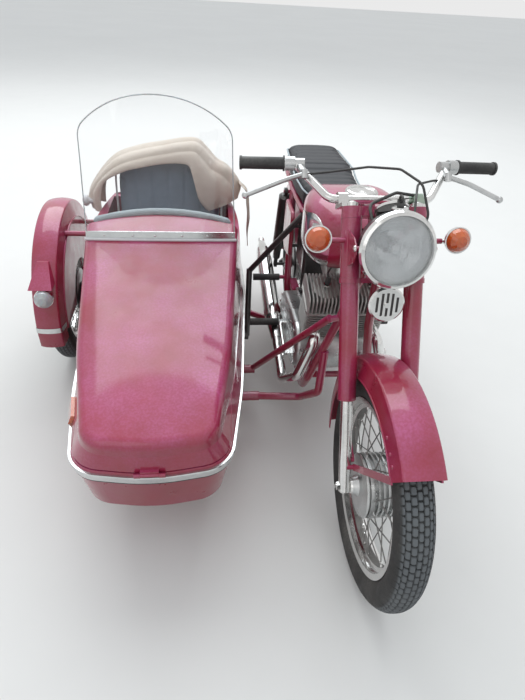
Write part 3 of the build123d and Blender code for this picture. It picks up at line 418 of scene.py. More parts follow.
class Groups:
    """Builds each shared node group once."""

    made: dict[str, Tree] = {}

    @classmethod
    def get(cls, name: str, builder: Callable[[], Tree]) -> Tree:
        """Return the named group, built on its first use.

        Args:
            name: Key of the group.
            builder: Builds it.

        Returns:
            The group.
        """
        if name not in cls.made:
            cls.made[name] = builder()
        return cls.made[name]


def blank_material(name: str) -> tuple[Material, Writer]:
    """Start a material with an empty tree.

    Args:
        name: Material name.

    Returns:
        The material and a writer for its tree.
    """
    new = bpy.data.materials.new(name)
    new.use_nodes = True
    new.node_tree.nodes.clear()
    return new, Writer(new.node_tree)


@dataclass(frozen=True)
class Finish:
    """A surface finish: its shades, gloss, coat, relief and the dust that lies on it, which on some finishes
    is partly a painted sheen of the sky.
    """

    name: str
    colour: Colour
    second: Colour
    roughness: tuple[float, float]
    slot: str
    metallic: float = 0.0
    coat: float = 0.0
    coat_roughness: float = 0.04
    sheen: float = 0.0
    transmission: float = 0.0
    ior: float = 1.5
    subsurface: float = 0.0
    mottle: float = 5.0
    relief: Relief = Relief.PEEL
    grain: float = 400.0
    depth: float = 0.0002
    dust_and_sheen: float = 0.15
    dust_and_sheen_colour: Colour = (0.36, 0.33, 0.29)

    def layers(self, w: Writer) -> Layers:
        """Write the finish's varying parts.

        Args:
            w: Writer of the material's tree.

        Returns:
            The sockets of colour, roughness and height.
        """
        mottle = w.node("ShaderNodeGroup", node_tree=Groups.get("mottle", mottle_group))
        mottle.inputs["First"].default_value = (*self.colour, 1)
        mottle.inputs["Second"].default_value = (*self.second, 1)
        mottle.inputs["Scale"].default_value = self.mottle
        dust_and_sheen = w.node("ShaderNodeGroup", node_tree=Groups.get("dust_and_sheen", dust_and_sheen_group))
        dust_and_sheen.inputs[0].default_value = self.dust_and_sheen
        grain = Groups.get(self.relief.name, lambda: relief_group(self.relief))
        relief = w.node("ShaderNodeGroup", node_tree=grain)
        relief.inputs[0].default_value = self.grain
        # Up-facing surfaces mix in the dust colour: real dust on most finishes, and painted sky sheen on the
        # carmine paint and the leathercloths.
        colour = w.blend(dust_and_sheen.outputs[0], mottle.outputs[0], (*self.dust_and_sheen_colour, 1))
        coords = w.node("ShaderNodeTexCoord").outputs["Object"]
        worn = w.spread(w.noise(coords, 18.0, 6.0), *self.roughness, 0.35, 0.65)
        rough = w.maths("ADD", worn, w.maths("MULTIPLY", dust_and_sheen.outputs[0], 0.35))
        return colour, rough, relief.outputs[0]

    def shader(self, w: Writer, colour: object, rough: object, height: object) -> None:
        """Write the shader itself with its plain values.

        Args:
            w: Writer of the material's tree.
            colour: Colour socket.
            rough: Roughness socket.
            height: Height socket for the bump.
        """
        bump = w.node("ShaderNodeBump", {"Height": height, "Strength": 1.0, "Distance": self.depth})
        values = {"Base Color": colour, "Roughness": rough, "Normal": bump.outputs[0],
                  "Metallic": self.metallic, "Coat Weight": self.coat, "Coat Roughness": self.coat_roughness,
                  "Sheen Weight": self.sheen, "Sheen Roughness": SHEEN_ROUGHNESS,
                  "Transmission Weight": self.transmission, "IOR": self.ior,
                  "Subsurface Weight": self.subsurface, "Subsurface Scale": SCATTER_DEPTH}
        principled = w.node("ShaderNodeBsdfPrincipled", values)
        w.node("ShaderNodeOutputMaterial", {0: principled.outputs[0]})

    def material(self) -> Material:
        """Return the finish's material, built on its first use.

        Returns:
            The material.
        """
        found = bpy.data.materials.get(self.name)
        if found:
            return found
        new, w = blank_material(self.name)
        self.shader(w, *self.layers(w))
        return new


@dataclass(frozen=True)
class TyreFinish(Finish):
    """Tyre rubber whose tread blocks are worn pale by the road while its grooves stay dark."""

    worn: Colour = (0.150, 0.158, 0.162)

    def layers(self, w: Writer) -> Layers:
        """Write the rubber's parts and pale the blocks by the mesh's own tread height.

        Args:
            w: Writer of the material's tree.

        Returns:
            The sockets of colour, roughness and height.
        """
        colour, rough, height = super().layers(w)
        tread = w.node("ShaderNodeAttribute", attribute_name="thread").outputs["Vector"]
        top = w.node("ShaderNodeSeparateXYZ", {0: tread}).outputs[0]
        return w.blend(top, colour, (*self.worn, 1)), rough, height


@dataclass(frozen=True)
class StageFinish(Finish):
    """The floor's finish, which throws less light on the machine than the camera sees on it."""

    thrown: Colour = (0.34, 0.33, 0.32)

    def layers(self, w: Writer) -> Layers:
        """Write the floor's parts and darken its colour for the light that it throws."""
        colour, rough, height = super().layers(w)
        return w.blend(w.shown(), (*self.thrown, 1), colour), rough, height


@dataclass(frozen=True)
class Banded:
    """Several finishes on one node, in rings or bands about a centre, with the last one's metal and coat."""

    name: str
    finishes: tuple[Finish, ...]
    radii: tuple[float, ...]
    centre: Point
    weights: tuple[float, float, float] = (0.0, 1.0, 1.0)

    def material(self) -> Material:
        """Lay each finish over the one before where the weighted distance from the centre passes its radius.

        Returns:
            The material.
        """
        new, w = blank_material(self.name)
        coords = w.node("ShaderNodeTexCoord").outputs["Object"]
        apart = w.vector("SUBTRACT", coords, tuple(placed(self.centre)))
        flat = w.vector("MULTIPLY", apart.outputs[0], self.weights)
        reach = w.vector("LENGTH", flat.outputs[0]).outputs["Value"]
        colour, rough, height = self.finishes[0].layers(w)
        for finish, radius in zip(self.finishes[1:], self.radii):
            mask = w.maths("GREATER_THAN", reach, radius * MM)
            outer = finish.layers(w)
            colour = w.blend(mask, colour, outer[0])
            rough = w.node("ShaderNodeMix", {0: mask, 2: rough, 3: outer[1]}).outputs[0]
            height = w.node("ShaderNodeMix", {0: mask, 2: height, 3: outer[2]}).outputs[0]
        self.finishes[-1].shader(w, colour, rough, height)
        return new


# The lilac-pink dust colour is a painted sheen of the sky's reflection on up-facing paint.
CARMINE = Finish(
    "carmine_paint", (0.30, 0.005, 0.022), (0.35, 0.008, 0.031), (0.26, 0.40), "red_paint", coat=0.9,
    coat_roughness=0.08, mottle=2.2, grain=260.0, depth=0.00012, dust_and_sheen=0.36, dust_and_sheen_colour=(0.80, 0.22, 0.58))
BLACK_ENAMEL = Finish(
    "black_enamel", (0.012, 0.012, 0.013), (0.02, 0.02, 0.021), (0.28, 0.45), "black_paint", coat=0.8,
    coat_roughness=0.1, mottle=9.0, grain=300.0, depth=0.0001, dust_and_sheen=0.3)
CHROME = Finish(
    "chrome_plate", (0.80, 0.80, 0.79), (0.66, 0.66, 0.65), (0.07, 0.16), "chrome", metallic=1.0,
    mottle=14.0, relief=Relief.PEEL, grain=120.0, depth=0.00005, dust_and_sheen=0.1, dust_and_sheen_colour=(0.45, 0.42, 0.38))
STAINLESS = Finish(
    "stainless_strip", (0.70, 0.71, 0.71), (0.58, 0.59, 0.59), (0.12, 0.24), "chrome", metallic=1.0,
    mottle=11.0, relief=Relief.BRUSHED, grain=260.0, depth=0.00004, dust_and_sheen=0.12)
CAST_ALLOY = Finish(
    "cast_alloy", (0.60, 0.60, 0.58), (0.48, 0.48, 0.46), (0.38, 0.58), "aluminium", metallic=0.85,
    mottle=12.0, relief=Relief.CAST, grain=900.0, depth=0.00035, dust_and_sheen=0.3)
POLISHED_ALLOY = Finish(
    "polished_alloy", (0.62, 0.63, 0.63), (0.50, 0.51, 0.51), (0.22, 0.38), "aluminium", metallic=1.0,
    mottle=16.0, relief=Relief.BRUSHED, grain=340.0, depth=0.00008, dust_and_sheen=0.2)
ZINC_CLAMP = Finish(
    "zinc_clamp", (0.42, 0.50, 0.42), (0.32, 0.40, 0.34), (0.30, 0.5), "aluminium", metallic=1.0,
    mottle=30.0, relief=Relief.CAST, grain=700.0, depth=0.0003, dust_and_sheen=0.25)
TYRE = TyreFinish(
    "tyre_rubber", (0.018, 0.018, 0.019), (0.032, 0.031, 0.030), (0.62, 0.85), "tyre", mottle=16.0,
    relief=Relief.RUBBER, grain=700.0, depth=0.0004, dust_and_sheen=0.75, dust_and_sheen_colour=(0.20, 0.185, 0.165))
RUBBER = Finish(
    "moulded_rubber", (0.016, 0.016, 0.017), (0.028, 0.028, 0.028), (0.45, 0.7), "rubber", mottle=20.0,
    relief=Relief.RUBBER, grain=800.0, depth=0.0002, dust_and_sheen=0.35)
# The bluish dust colour on the up-facing top is a painted sky sheen together with dust.
VINYL_BLACK = Finish(
    "black_leathercloth", (0.022, 0.024, 0.028), (0.034, 0.037, 0.042), (0.34, 0.52), "black_leathercloth",
    mottle=7.0, relief=Relief.HIDE, grain=900.0, depth=0.0004, dust_and_sheen=0.5, dust_and_sheen_colour=(0.34, 0.40, 0.46))
# The bluish dust colour on up-facing pads is a painted sky sheen together with dust.
VINYL_SLATE = Finish(
    "slate_leathercloth", (0.30, 0.37, 0.46), (0.24, 0.30, 0.37), (0.36, 0.55), "black_leathercloth",
    mottle=4.0, relief=Relief.HIDE, grain=800.0, depth=0.0004, dust_and_sheen=0.3, dust_and_sheen_colour=(0.45, 0.52, 0.60))
VINYL_GREY = Finish(
    "pale_grey_leathercloth", (0.52, 0.58, 0.60), (0.44, 0.50, 0.52), (0.42, 0.6), "beige_cloth",
    mottle=9.0, relief=Relief.HIDE, grain=1100.0, depth=0.0003, dust_and_sheen=0.2)
PIPING = Finish(
    "white_piping", (0.78, 0.76, 0.75), (0.66, 0.64, 0.64), (0.32, 0.5), "beige_cloth", mottle=12.0,
    relief=Relief.RUBBER, grain=500.0, depth=0.0001, dust_and_sheen=0.15)
HOOD_CLOTH = Finish(
    "beige_hood_cloth", (0.93, 0.80, 0.67), (0.84, 0.70, 0.57), (0.72, 0.9), "beige_cloth", sheen=0.35,
    mottle=6.0, relief=Relief.WOVEN, grain=4200.0, depth=0.0005, dust_and_sheen=0.25, dust_and_sheen_colour=(0.66, 0.55, 0.45))
AMBER = Finish(
    "amber_lens", (0.86, 0.17, 0.02), (0.72, 0.11, 0.015), (0.14, 0.28), "amber", coat=1.0,
    transmission=0.25, ior=1.49, subsurface=0.25, mottle=14.0, grain=90.0, depth=0.0003, dust_and_sheen=0.1)
RED_LENS = Finish(
    "red_lens", (0.50, 0.02, 0.015), (0.36, 0.012, 0.012), (0.14, 0.25), "red_lens", coat=1.0,
    transmission=0.2, ior=1.49, mottle=18.0, grain=90.0, depth=0.0003, dust_and_sheen=0.1)
ACRYLIC = Finish(
    "clear_acrylic", (0.995, 0.995, 1.0), (0.98, 0.985, 0.99), (0.01, 0.05), "clear_glass",
    transmission=1.0, ior=1.46, mottle=3.0, grain=30.0, depth=0.00003, dust_and_sheen=0.035,
    dust_and_sheen_colour=(0.8, 0.8, 0.8))
SPOKE_STEEL = Finish(
    "spoke_steel", (0.26, 0.255, 0.25), (0.18, 0.176, 0.17), (0.3, 0.5), "chrome", metallic=0.9,
    mottle=20.0, relief=Relief.CAST, grain=600.0, depth=0.0001, dust_and_sheen=0.3)
FLUTED_GLASS = Finish(
    "fluted_glass", (0.93, 0.95, 0.96), (0.86, 0.89, 0.90), (0.04, 0.10), "clear_glass", coat=1.0,
    transmission=0.78, ior=1.5, mottle=20.0, grain=60.0, depth=0.00002, dust_and_sheen=0.05)
FROSTED = Finish(
    "frosted_lens", (0.74, 0.78, 0.78), (0.62, 0.66, 0.66), (0.12, 0.25), "clear_glass", coat=1.0,
    transmission=0.35, ior=1.49, subsurface=0.2, mottle=30.0, grain=160.0, depth=0.0003, dust_and_sheen=0.15)
DIAL_BLACK = Finish(
    "dial_black", (0.02, 0.02, 0.022), (0.03, 0.03, 0.032), (0.5, 0.6), "black_paint", mottle=40.0,
    grain=600.0, depth=0.00005, dust_and_sheen=0.1)

CAD_FINISHES: dict[Finish, str] = {
    CARMINE: "boot_lid cowl fork_covers fork_yokes front_fender fuel_tank main_frame rear_fender side_covers "
             "sidecar_fender sidecar_hull",
    BLACK_ENAMEL: "air_box centre_stand chain_case headlamp_shell instruments rear_shocks sidecar_arm "
                  "swingarm",
    CAST_ALLOY: "carburettor cylinders",
    POLISHED_ALLOY: "engine_cases hand_levers",
    CHROME: "exhausts foot_levers headlamp_rim horn marker_lamps signal_shells tank_trim",
    STAINLESS: "screen_strip trim_moulding",
    RUBBER: "control_cables foot_pegs grips",
    AMBER: "side_reflector signal_lenses",
    RED_LENS: "tail_lens",
    FROSTED: "marker_lens",
    ACRYLIC: "windscreen",
}


def add_object(name: str, data: bpy.types.ID) -> Piece:
    """Link a new object with the data into the scene.

    Args:
        name: Object name.
        data: Its mesh, light or camera.

    Returns:
        The object.
    """
    new = bpy.data.objects.new(name, data)
    bpy.context.collection.objects.link(new)
    return new


def read_vectors(items: bpy.types.bpy_prop_collection, key: str) -> np.ndarray:
    """Read one vector of every item of a mesh.

    Args:
        items: The mesh's vertices or their normals.
        key: The vector's name.

    Returns:
        The vectors, a row each.
    """
    flat = np.zeros(len(items) * 3)
    items.foreach_get(key, flat)
    return flat.reshape(-1, 3)


def sided(name: str, sign: int) -> str:
    """Name a piece after its side."""
    return name + ("_left" if sign > 0 else "_right")


class Shape:
    """Gathers the grids of one piece and sets them into a mesh together."""

    def __init__(self) -> None:
        """Start with no points and no faces."""
        self.points: list[np.ndarray] = []
        self.threads: list[np.ndarray] = []
        self.faces: list[list[int]] = []
        self.count = 0

    def grid(self, points: np.ndarray, loop_u: bool = False, loop_v: bool = False,
             capped: bool = False, thread: np.ndarray | None = None) -> "Shape":
        """Add a grid: each cell of neighbouring rows and columns becomes one face.

        Args:
            points: Rows by columns of points.
            loop_u: Join the last row to the first.
            loop_v: Join the last column to the first.
            capped: Close the first and last rows with one face each.
            thread: Cloth coordinates of each point, in metres.

        Returns:
            The shape itself.
        """
        rows, columns = points.shape[:2]
        index = np.arange(rows * columns).reshape(rows, columns) + self.count
        ends = [index[0][::-1].tolist(), index[-1].tolist()]
        index = np.vstack([index, index[:1]]) if loop_u else index
        index = np.hstack([index, index[:, :1]]) if loop_v else index
        cells = np.stack([index[:-1, :-1], index[1:, :-1], index[1:, 1:], index[:-1, 1:]], axis=-1)
        self.faces += cells.reshape(-1, 4).tolist() + (ends if capped else [])
        self.points.append(points.reshape(-1, 3))
        self.threads.append(np.zeros((rows * columns, 3)) if thread is None else thread.reshape(-1, 3))
        self.count += rows * columns
        return self

    def cord(self, path: np.ndarray, radius: float | np.ndarray, sides: int) -> "Shape":
        """Add a tube along an open path, capped at both ends, and return the shape."""
        return self.grid(tube(path, radius, sides), loop_v=True, capped=True)

    def hoop(self, path: np.ndarray, radius: float, sides: int) -> "Shape":
        """Add a tube round a closed path and return the shape."""
        return self.grid(tube(path, radius, sides, closed=True), loop_u=True, loop_v=True)

    def spun(self, profile: Sequence[Point], steps: int, place: Place, ring: bool = False) -> "Shape":
        """Add a turned profile, joined end to end where it is a ring, and return the shape."""
        return self.grid(turned(profile, steps, place), loop_u=ring, loop_v=True)

    def build(self, name: str, finish: Finish, body: str, sharp: float = 38.0) -> Piece:
        """Set the gathered grids into one object that rides on a body.

        Args:
            name: Object name.
            finish: Its finish.
            body: The body that carries it.
            sharp: Angle in degrees above which an edge stays sharp.

        Returns:
            The object.
        """
        mesh = bpy.data.meshes.new(name)
        mesh.from_pydata(placed(np.vstack(self.points)).tolist(), [], self.faces)
        layer = mesh.attributes.new("thread", "FLOAT_VECTOR", "POINT")
        layer.data.foreach_set("vector", np.vstack(self.threads).ravel())
        work = bmesh.new()
        work.from_mesh(mesh)
        bmesh.ops.remove_doubles(work, verts=work.verts, dist=2e-6)
        bmesh.ops.recalc_face_normals(work, faces=work.faces)
        work.to_mesh(mesh)
        work.free()
        mesh.polygons.foreach_set("use_smooth", [True] * len(mesh.polygons))
        mesh.set_sharp_from_angle(angle=np.radians(sharp))
        piece = add_object(name, mesh)
        mesh.materials.append(finish.material())
        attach(piece, body)
        LOG.info("%s: %d faces on %s", name, len(mesh.polygons), body)
        return piece


def swell(piece: Piece, voxel: float, cap: float) -> None:
    """Swell a pad with cloth pressure: remesh it, run some frames and keep each point's move below the cap.

    Args:
        piece: The pad, which is a closed mesh.
        voxel: Remesh size in metres.
        cap: Longest move in metres.
    """
    remesh = piece.modifiers.new("even_cells", "REMESH")
    remesh.mode, remesh.voxel_size, remesh.use_smooth_shade = "VOXEL", voxel, True
    graph = bpy.context.evaluated_depsgraph_get()
    fresh = bpy.data.meshes.new_from_object(piece.evaluated_get(graph))
    piece.modifiers.clear()
    fresh.materials.clear()
    fresh.materials.append(piece.data.materials[0])
    piece.data = fresh
    start = read_vectors(fresh.vertices, "co")
    cloth = piece.modifiers.new("pressure", "CLOTH")
    cloth.settings.use_pressure = True
    cloth.settings.uniform_pressure_force = SWELL_PRESSURE
    cloth.settings.quality = 4
    cloth.settings.effector_weights.gravity = 0.0
    cloth.point_cache.frame_start, cloth.point_cache.frame_end = 1, SWELL_FRAMES
    for number in range(1, SWELL_FRAMES + 1):
        bpy.context.scene.frame_set(number)
    swollen = piece.evaluated_get(bpy.context.evaluated_depsgraph_get()).data
    move = read_vectors(swollen.vertices, "co") - start
    length = np.linalg.norm(move, axis=1)
    move *= (np.minimum(length, cap) / np.maximum(length, 1e-9))[:, None]
    piece.modifiers.clear()
    bpy.context.scene.frame_set(1)
    fresh.vertices.foreach_set("co", (start + move).ravel())
    fresh.polygons.foreach_set("use_smooth", [True] * len(fresh.polygons))
    fresh.update()


def press_seams(piece: Piece, axis: int, lines: Sequence[float], depth: float, width: float,
                face: Point) -> None:
    """Sink sewn channels into a pad: depth times a bell of the distance from each line, on one side of it.

    Args:
        piece: The pad.
        axis: The coordinate that the lines divide, 0, 1 or 2.
        lines: Their places in drawing millimetres.
        depth: Depth of a channel in metres.
        width: Half width of a channel in metres.
        face: Direction of the side that is sewn.
    """
    mesh = piece.data
    spots, normals = read_vectors(mesh.vertices, "co"), read_vectors(mesh.vertex_normals, "vector")
    places = ORIGIN[axis] + np.array(lines) * MM
    near = np.exp(-((spots[:, axis, None] - places) / width) ** 2).max(axis=1)
    looking = np.clip(normals @ (np.array(face) / np.linalg.norm(face)) * 1.6 - 0.3, 0, 1)
    mesh.vertices.foreach_set("co", (spots - normals * (near * looking * depth)[:, None]).ravel())
    mesh.update()


def rounded_block(place: Place, size: Point, power: float, rows: int, columns: int) -> np.ndarray:
    """Give a rounded block: a sphere's sines and cosines raised to a small power and scaled to the size.

    Args:
        place: Frame of its middle.
        size: Full width, depth and height in the frame.
        power: Smaller is squarer.
        rows: Points from pole to pole.
        columns: Points round.

    Returns:
        Grid of points, whose first and last rows are poles.
    """
    lift = np.linspace(-np.pi / 2, np.pi / 2, rows)[:, None]
    turn = np.linspace(-np.pi, np.pi, columns, endpoint=False)[None, :]
    level = signed_power(np.cos(lift), power)
    x = level * signed_power(np.cos(turn), power) * size[0] / 2
    y = level * signed_power(np.sin(turn), power) * size[1] / 2
    z = signed_power(np.sin(lift), power) * np.ones_like(turn) * size[2] / 2
    return place.put(np.stack([x, y, z], axis=-1))


def domes(spots: Sequence[Point], outward: Point, radius: float, height: float) -> Shape:
    """Gather round heads, each a low dome turned about its own axis.

    Args:
        spots: Where the heads sit.
        outward: The way they look.
        radius: Their radius.
        height: Their height.

    Returns:
        The shape with every head.
    """
    shape = Shape()
    angle = np.linspace(0, np.pi / 2, 6)
    profile = [(0.0, -1.5), (radius, -1.5)] + [(radius * np.cos(a), height * np.sin(a)) for a in angle]
    for spot in spots:
        shape.spun(profile, 16, Place(spot, outward, (0.3, 0.9, 0.2)))
    return shape


@dataclass
class RoadWheel:
    """One wheel: its treaded tyre, spoke nipples and valve, and the finish of rim, spokes and hub.

    The tread's blocks stand in rows, each row half a pitch behind the next. A block is a core of the given
    half length and half width, rounded off about it, and its wall falls over the slope.
    """

    name: str
    body: str
    centre: tuple[float, float, float]
    radius: float
    flange: float
    half_width: float = 47.0
    round_steps: int = 900
    tread_depth: float = 6.0
    tread_edge: float = 46.0
    edge_fade: float = 6.0
    pitch: float = 22.5
    row_width: float = 13.4
    core: tuple[float, float] = (6.0, 2.6)
    rounding: float = 2.6
    slope: float = 1.6
    spokes: int = 36
    spoke_lean: float = 24.0
    hub_reach: float = 96.0

    def tyre_profile(self) -> tuple[np.ndarray, np.ndarray]:
        """Trace the tyre's section: bead, bulging wall and crown arcs, mirrored about the middle.

        Returns:
            Points of (x, radius) round the section and the arc distance of each from the crown.
        """
        seat, shoulder = self.flange - 11.7, (self.half_width - 9, self.radius - 17)
        crown = arc_through((0, self.radius), (self.half_width * 0.48, self.radius - 4.5), shoulder, 22)
        bulge = (self.half_width, (self.flange + self.radius) / 2 - 2)
        wall = arc_through(shoulder, bulge, (29.2, self.flange + 1), 10)
        right = np.vstack([crown, wall[1:], [[26.5, seat]]])
        outline = np.vstack([right[::-1] * (-1, 1), right[1:]])
        steps = np.linalg.norm(np.diff(right, axis=0), axis=1)
        along = np.concatenate([[0], np.cumsum(steps)])
        return outline, np.concatenate([-along[::-1], along[1:]])

    def tread(self, across: np.ndarray, turn: np.ndarray) -> np.ndarray:
        """Give the tread's depth: grooves lie where a point is outside the rounded blocks of its row.

        Args:
            across: Arc distance from the crown.
            turn: Angle round the wheel.

        Returns:
            Depth below the crown surface for each turn and distance.
        """
        count = round(2 * np.pi * self.radius / self.pitch)
        row = np.rint(across / self.row_width)
        beside = np.abs(across - row * self.row_width)
        run = turn[:, None] * count / (2 * np.pi) + 0.5 * row[None, :]
        ahead = np.abs(run - np.rint(run)) * self.pitch
        corner = np.hypot(np.maximum(ahead - self.core[0], 0), np.maximum(beside - self.core[1], 0)[None, :])
        groove = np.clip((corner - self.rounding) / self.slope, 0, 1)
        fade = np.clip((self.tread_edge - np.abs(across)) / self.edge_fade, 0, 1)
        return self.tread_depth * groove * fade[None, :]

    def build_tyre(self) -> None:
        """Revolve the section about the axle and sink the tread into its crown."""
        outline, across = self.tyre_profile()
        turn = full_turn(self.round_steps)
        depth = self.tread(across, turn)
        reach = outline[:, 1][None, :] - depth
        x = np.broadcast_to(outline[:, 0], reach.shape)
        grid = np.stack([x, reach * np.cos(turn)[:, None], reach * np.sin(turn)[:, None]], axis=-1)
        road = np.clip((self.tread_edge - 2.0 - np.abs(across)) / self.edge_fade, 0, 1)[None, :]
        top = road * (1 - depth / self.tread_depth)
        worn = np.stack([top, 0 * top, 0 * top], axis=-1)
        shape = Shape().grid(grid + np.array(self.centre), loop_u=True, loop_v=True, thread=worn)
        piece = shape.build(self.name + "_tyre_treaded", TYRE, self.body)
        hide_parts(self.name + "_tyre")

    def build_nipples(self) -> None:
        """Set a small cone on the rim bed at every spoke's tip, and the valve stem at the bottom."""
        shape = Shape()
        bed = self.flange - 27.0
        middle = np.array(self.centre)
        for number in range(self.spokes):
            lean = 1 if (number // 2) % 2 else -1
            tip = np.radians(360 / self.spokes * number + self.spoke_lean * lean)
            out = np.array([0.0, np.cos(tip), np.sin(tip)])
            aside = 5.4 if number % 2 else -5.4
            spot = middle + out * (bed - 9.0) + np.array([aside, 0, 0])
            shape.spun([(0, 0), (2.6, 0), (3.0, 6), (3.4, 11), (0, 11)], 10, Place(spot, out))
        valve = Place(middle - (0, 0, bed + 4), (0, 0, 1))
        shape.spun([(0, 0), (4, 0), (4, 22), (2.4, 23), (2.4, 36), (0, 36)], 12, valve)
        shape.build(self.name + "_nipples", CHROME, self.body)

    def dress(self) -> None:
        """Give the wheel's node alloy at the hub, plain steel at the spokes and chrome at the rim."""
        radii = (self.hub_reach, self.flange - 29.0)
        finish = Banded(self.name + "_wheel_metal", (POLISHED_ALLOY, SPOKE_STEEL, CHROME), radii, self.centre)
        assign(self.name + "_wheel", finish.material())
        self.build_tyre()
        self.build_nipples()


def assign(node: str, material: Material) -> None:
    """Give a CAD node one material in every slot.

    Args:
        node: Node name.
        material: The material.
    """
    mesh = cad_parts[node].data
    if not mesh.materials:
        mesh.materials.append(material)
    for number in range(len(mesh.materials)):
        mesh.materials[number] = material


@dataclass
class SteeringHead:
    """Everything that turns with the fork: lamp, switch, horn, front fender and their small fittings."""

    lamp_lead: float = 106.0
    lamp_height: float = 628.0
    horn_lead: float = 42.0
    horn_height: float = 497.0
    lamp_radius: float = 88.0
    lens_rise: float = 15.0
    lens_fall: float = 11.0
    lens_thickness: float = 4.2
    flutes: int = 26
    flute_depth: float = 1.5
    fork_top: float = 751.0
    fork_half: float = 85.0
    fender_radius: float = 362.0
    fender_half: float = 59.0
    rivet_radius: float = 316.0
    rivet_turns: tuple[float, ...] = (58.0, 63.0, 70.0, 118.0, 150.0)

    def lamp(self) -> Place:
        """Return the headlamp's frame at its rim."""
        return facing(on_fork(0, self.lamp_lead, self.lamp_height), LAMP_TILT)

    def build_lens(self) -> None:
        """Mould the lens: a shallow dome whose back carries upright flutes, deepest in the middle field."""
        rows, columns = 34, 120
        edge = self.lamp_radius - 6.4
        reach = np.linspace(0, edge, rows)[:, None]
        turn = full_turn(columns)[None, :]
        x, y = reach * np.cos(turn), reach * np.sin(turn)
        dome = self.lens_rise - self.lens_fall * (reach / edge) ** 2.2 + 0 * turn
        field = np.clip(1.25 - np.abs(y) / 55.0, 0, 1) * np.clip((edge - reach) / 12.0, 0, 1)
        flute = self.flute_depth * np.abs(np.sin(np.pi * self.flutes * x / (2 * edge))) * field
        front = np.stack([x, y, dome + 0.5 * flute], axis=-1)
        back = np.stack([x, y, dome - self.lens_thickness + flute], axis=-1)
        grid = np.vstack([front, back[::-1]])
        shape = Shape().grid(self.lamp().put(grid), loop_v=True)
        lens = shape.build("headlamp_fluted_lens", FLUTED_GLASS, "steering", 60)
        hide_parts("headlamp_lens")

    def build_bulb(self) -> None:
        """Set the bulb and the shade on its tip inside the reflector bowl."""
        place = self.lamp()
        profile = [(0, -50), (12, -50), (12, -38), (6, -36), (9, -28), (9, -20), (6, -14), (0, -12)]
        Shape().spun(profile, 24, place).build("headlamp_bulb", FROSTED, "steering")
        shade = [(0, -8), (11, -9), (13, -14), (12, -15), (0, -10)]
        Shape().spun(shade, 24, place).build("bulb_shade", CHROME, "steering")

    def build_switch(self) -> None:
        """Add the switch's bright ring, the key's dark bow, the telltale domes and the speedometer's face."""
        lamp = self.lamp()
        up = lamp.way((0.0, 1.0, 0.0))
        place = Place(lamp.put((0.0, self.lamp_radius + 6.0, -24.0)), up)
        ring = [(14, -3), (19.5, -3), (20.5, 0), (19, 3.5), (15.5, 4.2), (13, 2.5), (13, -1)]
        Shape().spun(ring, 40, place, ring=True).build("switch_ring", CHROME, "steering")
        turn = full_turn(28)
        bow = place.put(np.stack([0 * turn, 9.0 * np.cos(turn), 22 + 7.0 * np.sin(turn)], axis=-1))
        Shape().hoop(bow, 3.0, 10).build("key_bow", RUBBER, "steering")
        spots = [lamp.put((x, self.lamp_radius + 1.0, -12.0)) for x in (-12.0, 14.0)]
        domes(spots, up, 7.2, 5.0).build("telltale_domes", CHROME, "steering")
        out = lamp.way((0.0, 0.78, -0.62))
        dial = Place(lamp.put((0.0, 58.0, -62.0)) + out * 29.2, out)
        bezel = [(36, -4), (42.5, -4), (43, 1), (40, 4), (36.5, 3), (35.5, 0)]
        Shape().spun(bezel, 56, dial, ring=True).build("dial_bezel", CHROME, "steering")
        face = Shape().spun([(0, 0.3), (36, 0.3), (36, -1), (0, -1)], 48, dial)
        face.build("dial_face", DIAL_BLACK, "steering")
        marks = Shape()
        for angle in np.linspace(-2.3, 2.3, 13):
            way = np.array([np.sin(angle), -np.cos(angle), 0.0])
            line = dial.put(np.stack([way * 28.0, way * 33.0]) + np.array([0, 0, 0.5]))
            marks.cord(line, 0.7, 6)
        marks.cord(dial.put([(0, -4.0, 0.9), (6.0, 22.0, 0.9)]), np.array([1.4, 0.5]), 6)
        marks.build("dial_marks", PIPING, "steering")

    def build_front_fender_trim(self) -> None:
        """Roll the fender's lower edges and head its rivets: tubes along the skirt's arcs and low domes."""
        beads, skirt = Shape(), self.fender_radius - 61.0
        for sign in (-1, 1):
            aside = sign * (self.fender_half - 1.0)
            beads.cord(wheel_arc(FRONT_HUB, aside, skirt, 53, 193, 110), 2.6, 10)
        beads.build("front_fender_beads", CARMINE, "steering")
        for sign in (-1, 1):
            aside, reach = sign * (self.fender_half - 3.0), self.rivet_radius
            spots = [wheel_arc(FRONT_HUB, aside, reach, turn, turn, 1)[0] for turn in self.rivet_turns]
            heads = domes(spots, (sign, 0, 0), 4.6, 2.6)
            heads.build(sided("front_fender_rivets", sign), CARMINE, "steering")

    def build_bolts(self) -> None:
        """Head the fork's top nuts and the lamp's bolts with bright domes and fill the horn's slots with
        painted shade.
        """
        tops = [on_fork(x, 0, self.fork_top) for x in (-self.fork_half, self.fork_half)]
        up = (0, np.sin(RAKE), np.cos(RAKE))
        domes(tops, up, 11.0, 5.0).build("fork_top_nuts", CHROME, "steering")
        horn, shades = facing(on_fork(0, self.horn_lead, self.horn_height), LAMP_TILT), Shape()
        # Thin dark blocks in the horn's slots are painted shade.
        for column, length in ((-26, 40), (-13, 60), (0, 62), (13, 60), (26, 40)):
            bed = Place(horn.put((column, 0.0, 2.5)), horn.outward)
            shades.grid(rounded_block(bed, (6.3, length - 0.6, 0.8), 0.15, 8, 24), loop_v=True)
        shades.build("horn_slot_painted_shade", RUBBER, "steering")
        lamp = self.lamp()
        for sign in (-1, 1):
            spot = lamp.put((sign * (self.lamp_radius + 12.0), 0, -18.0))
            domes([spot], (sign, 0, 0), 8.0, 4.5).build(sided("lamp_bolt", sign), CHROME, "steering")

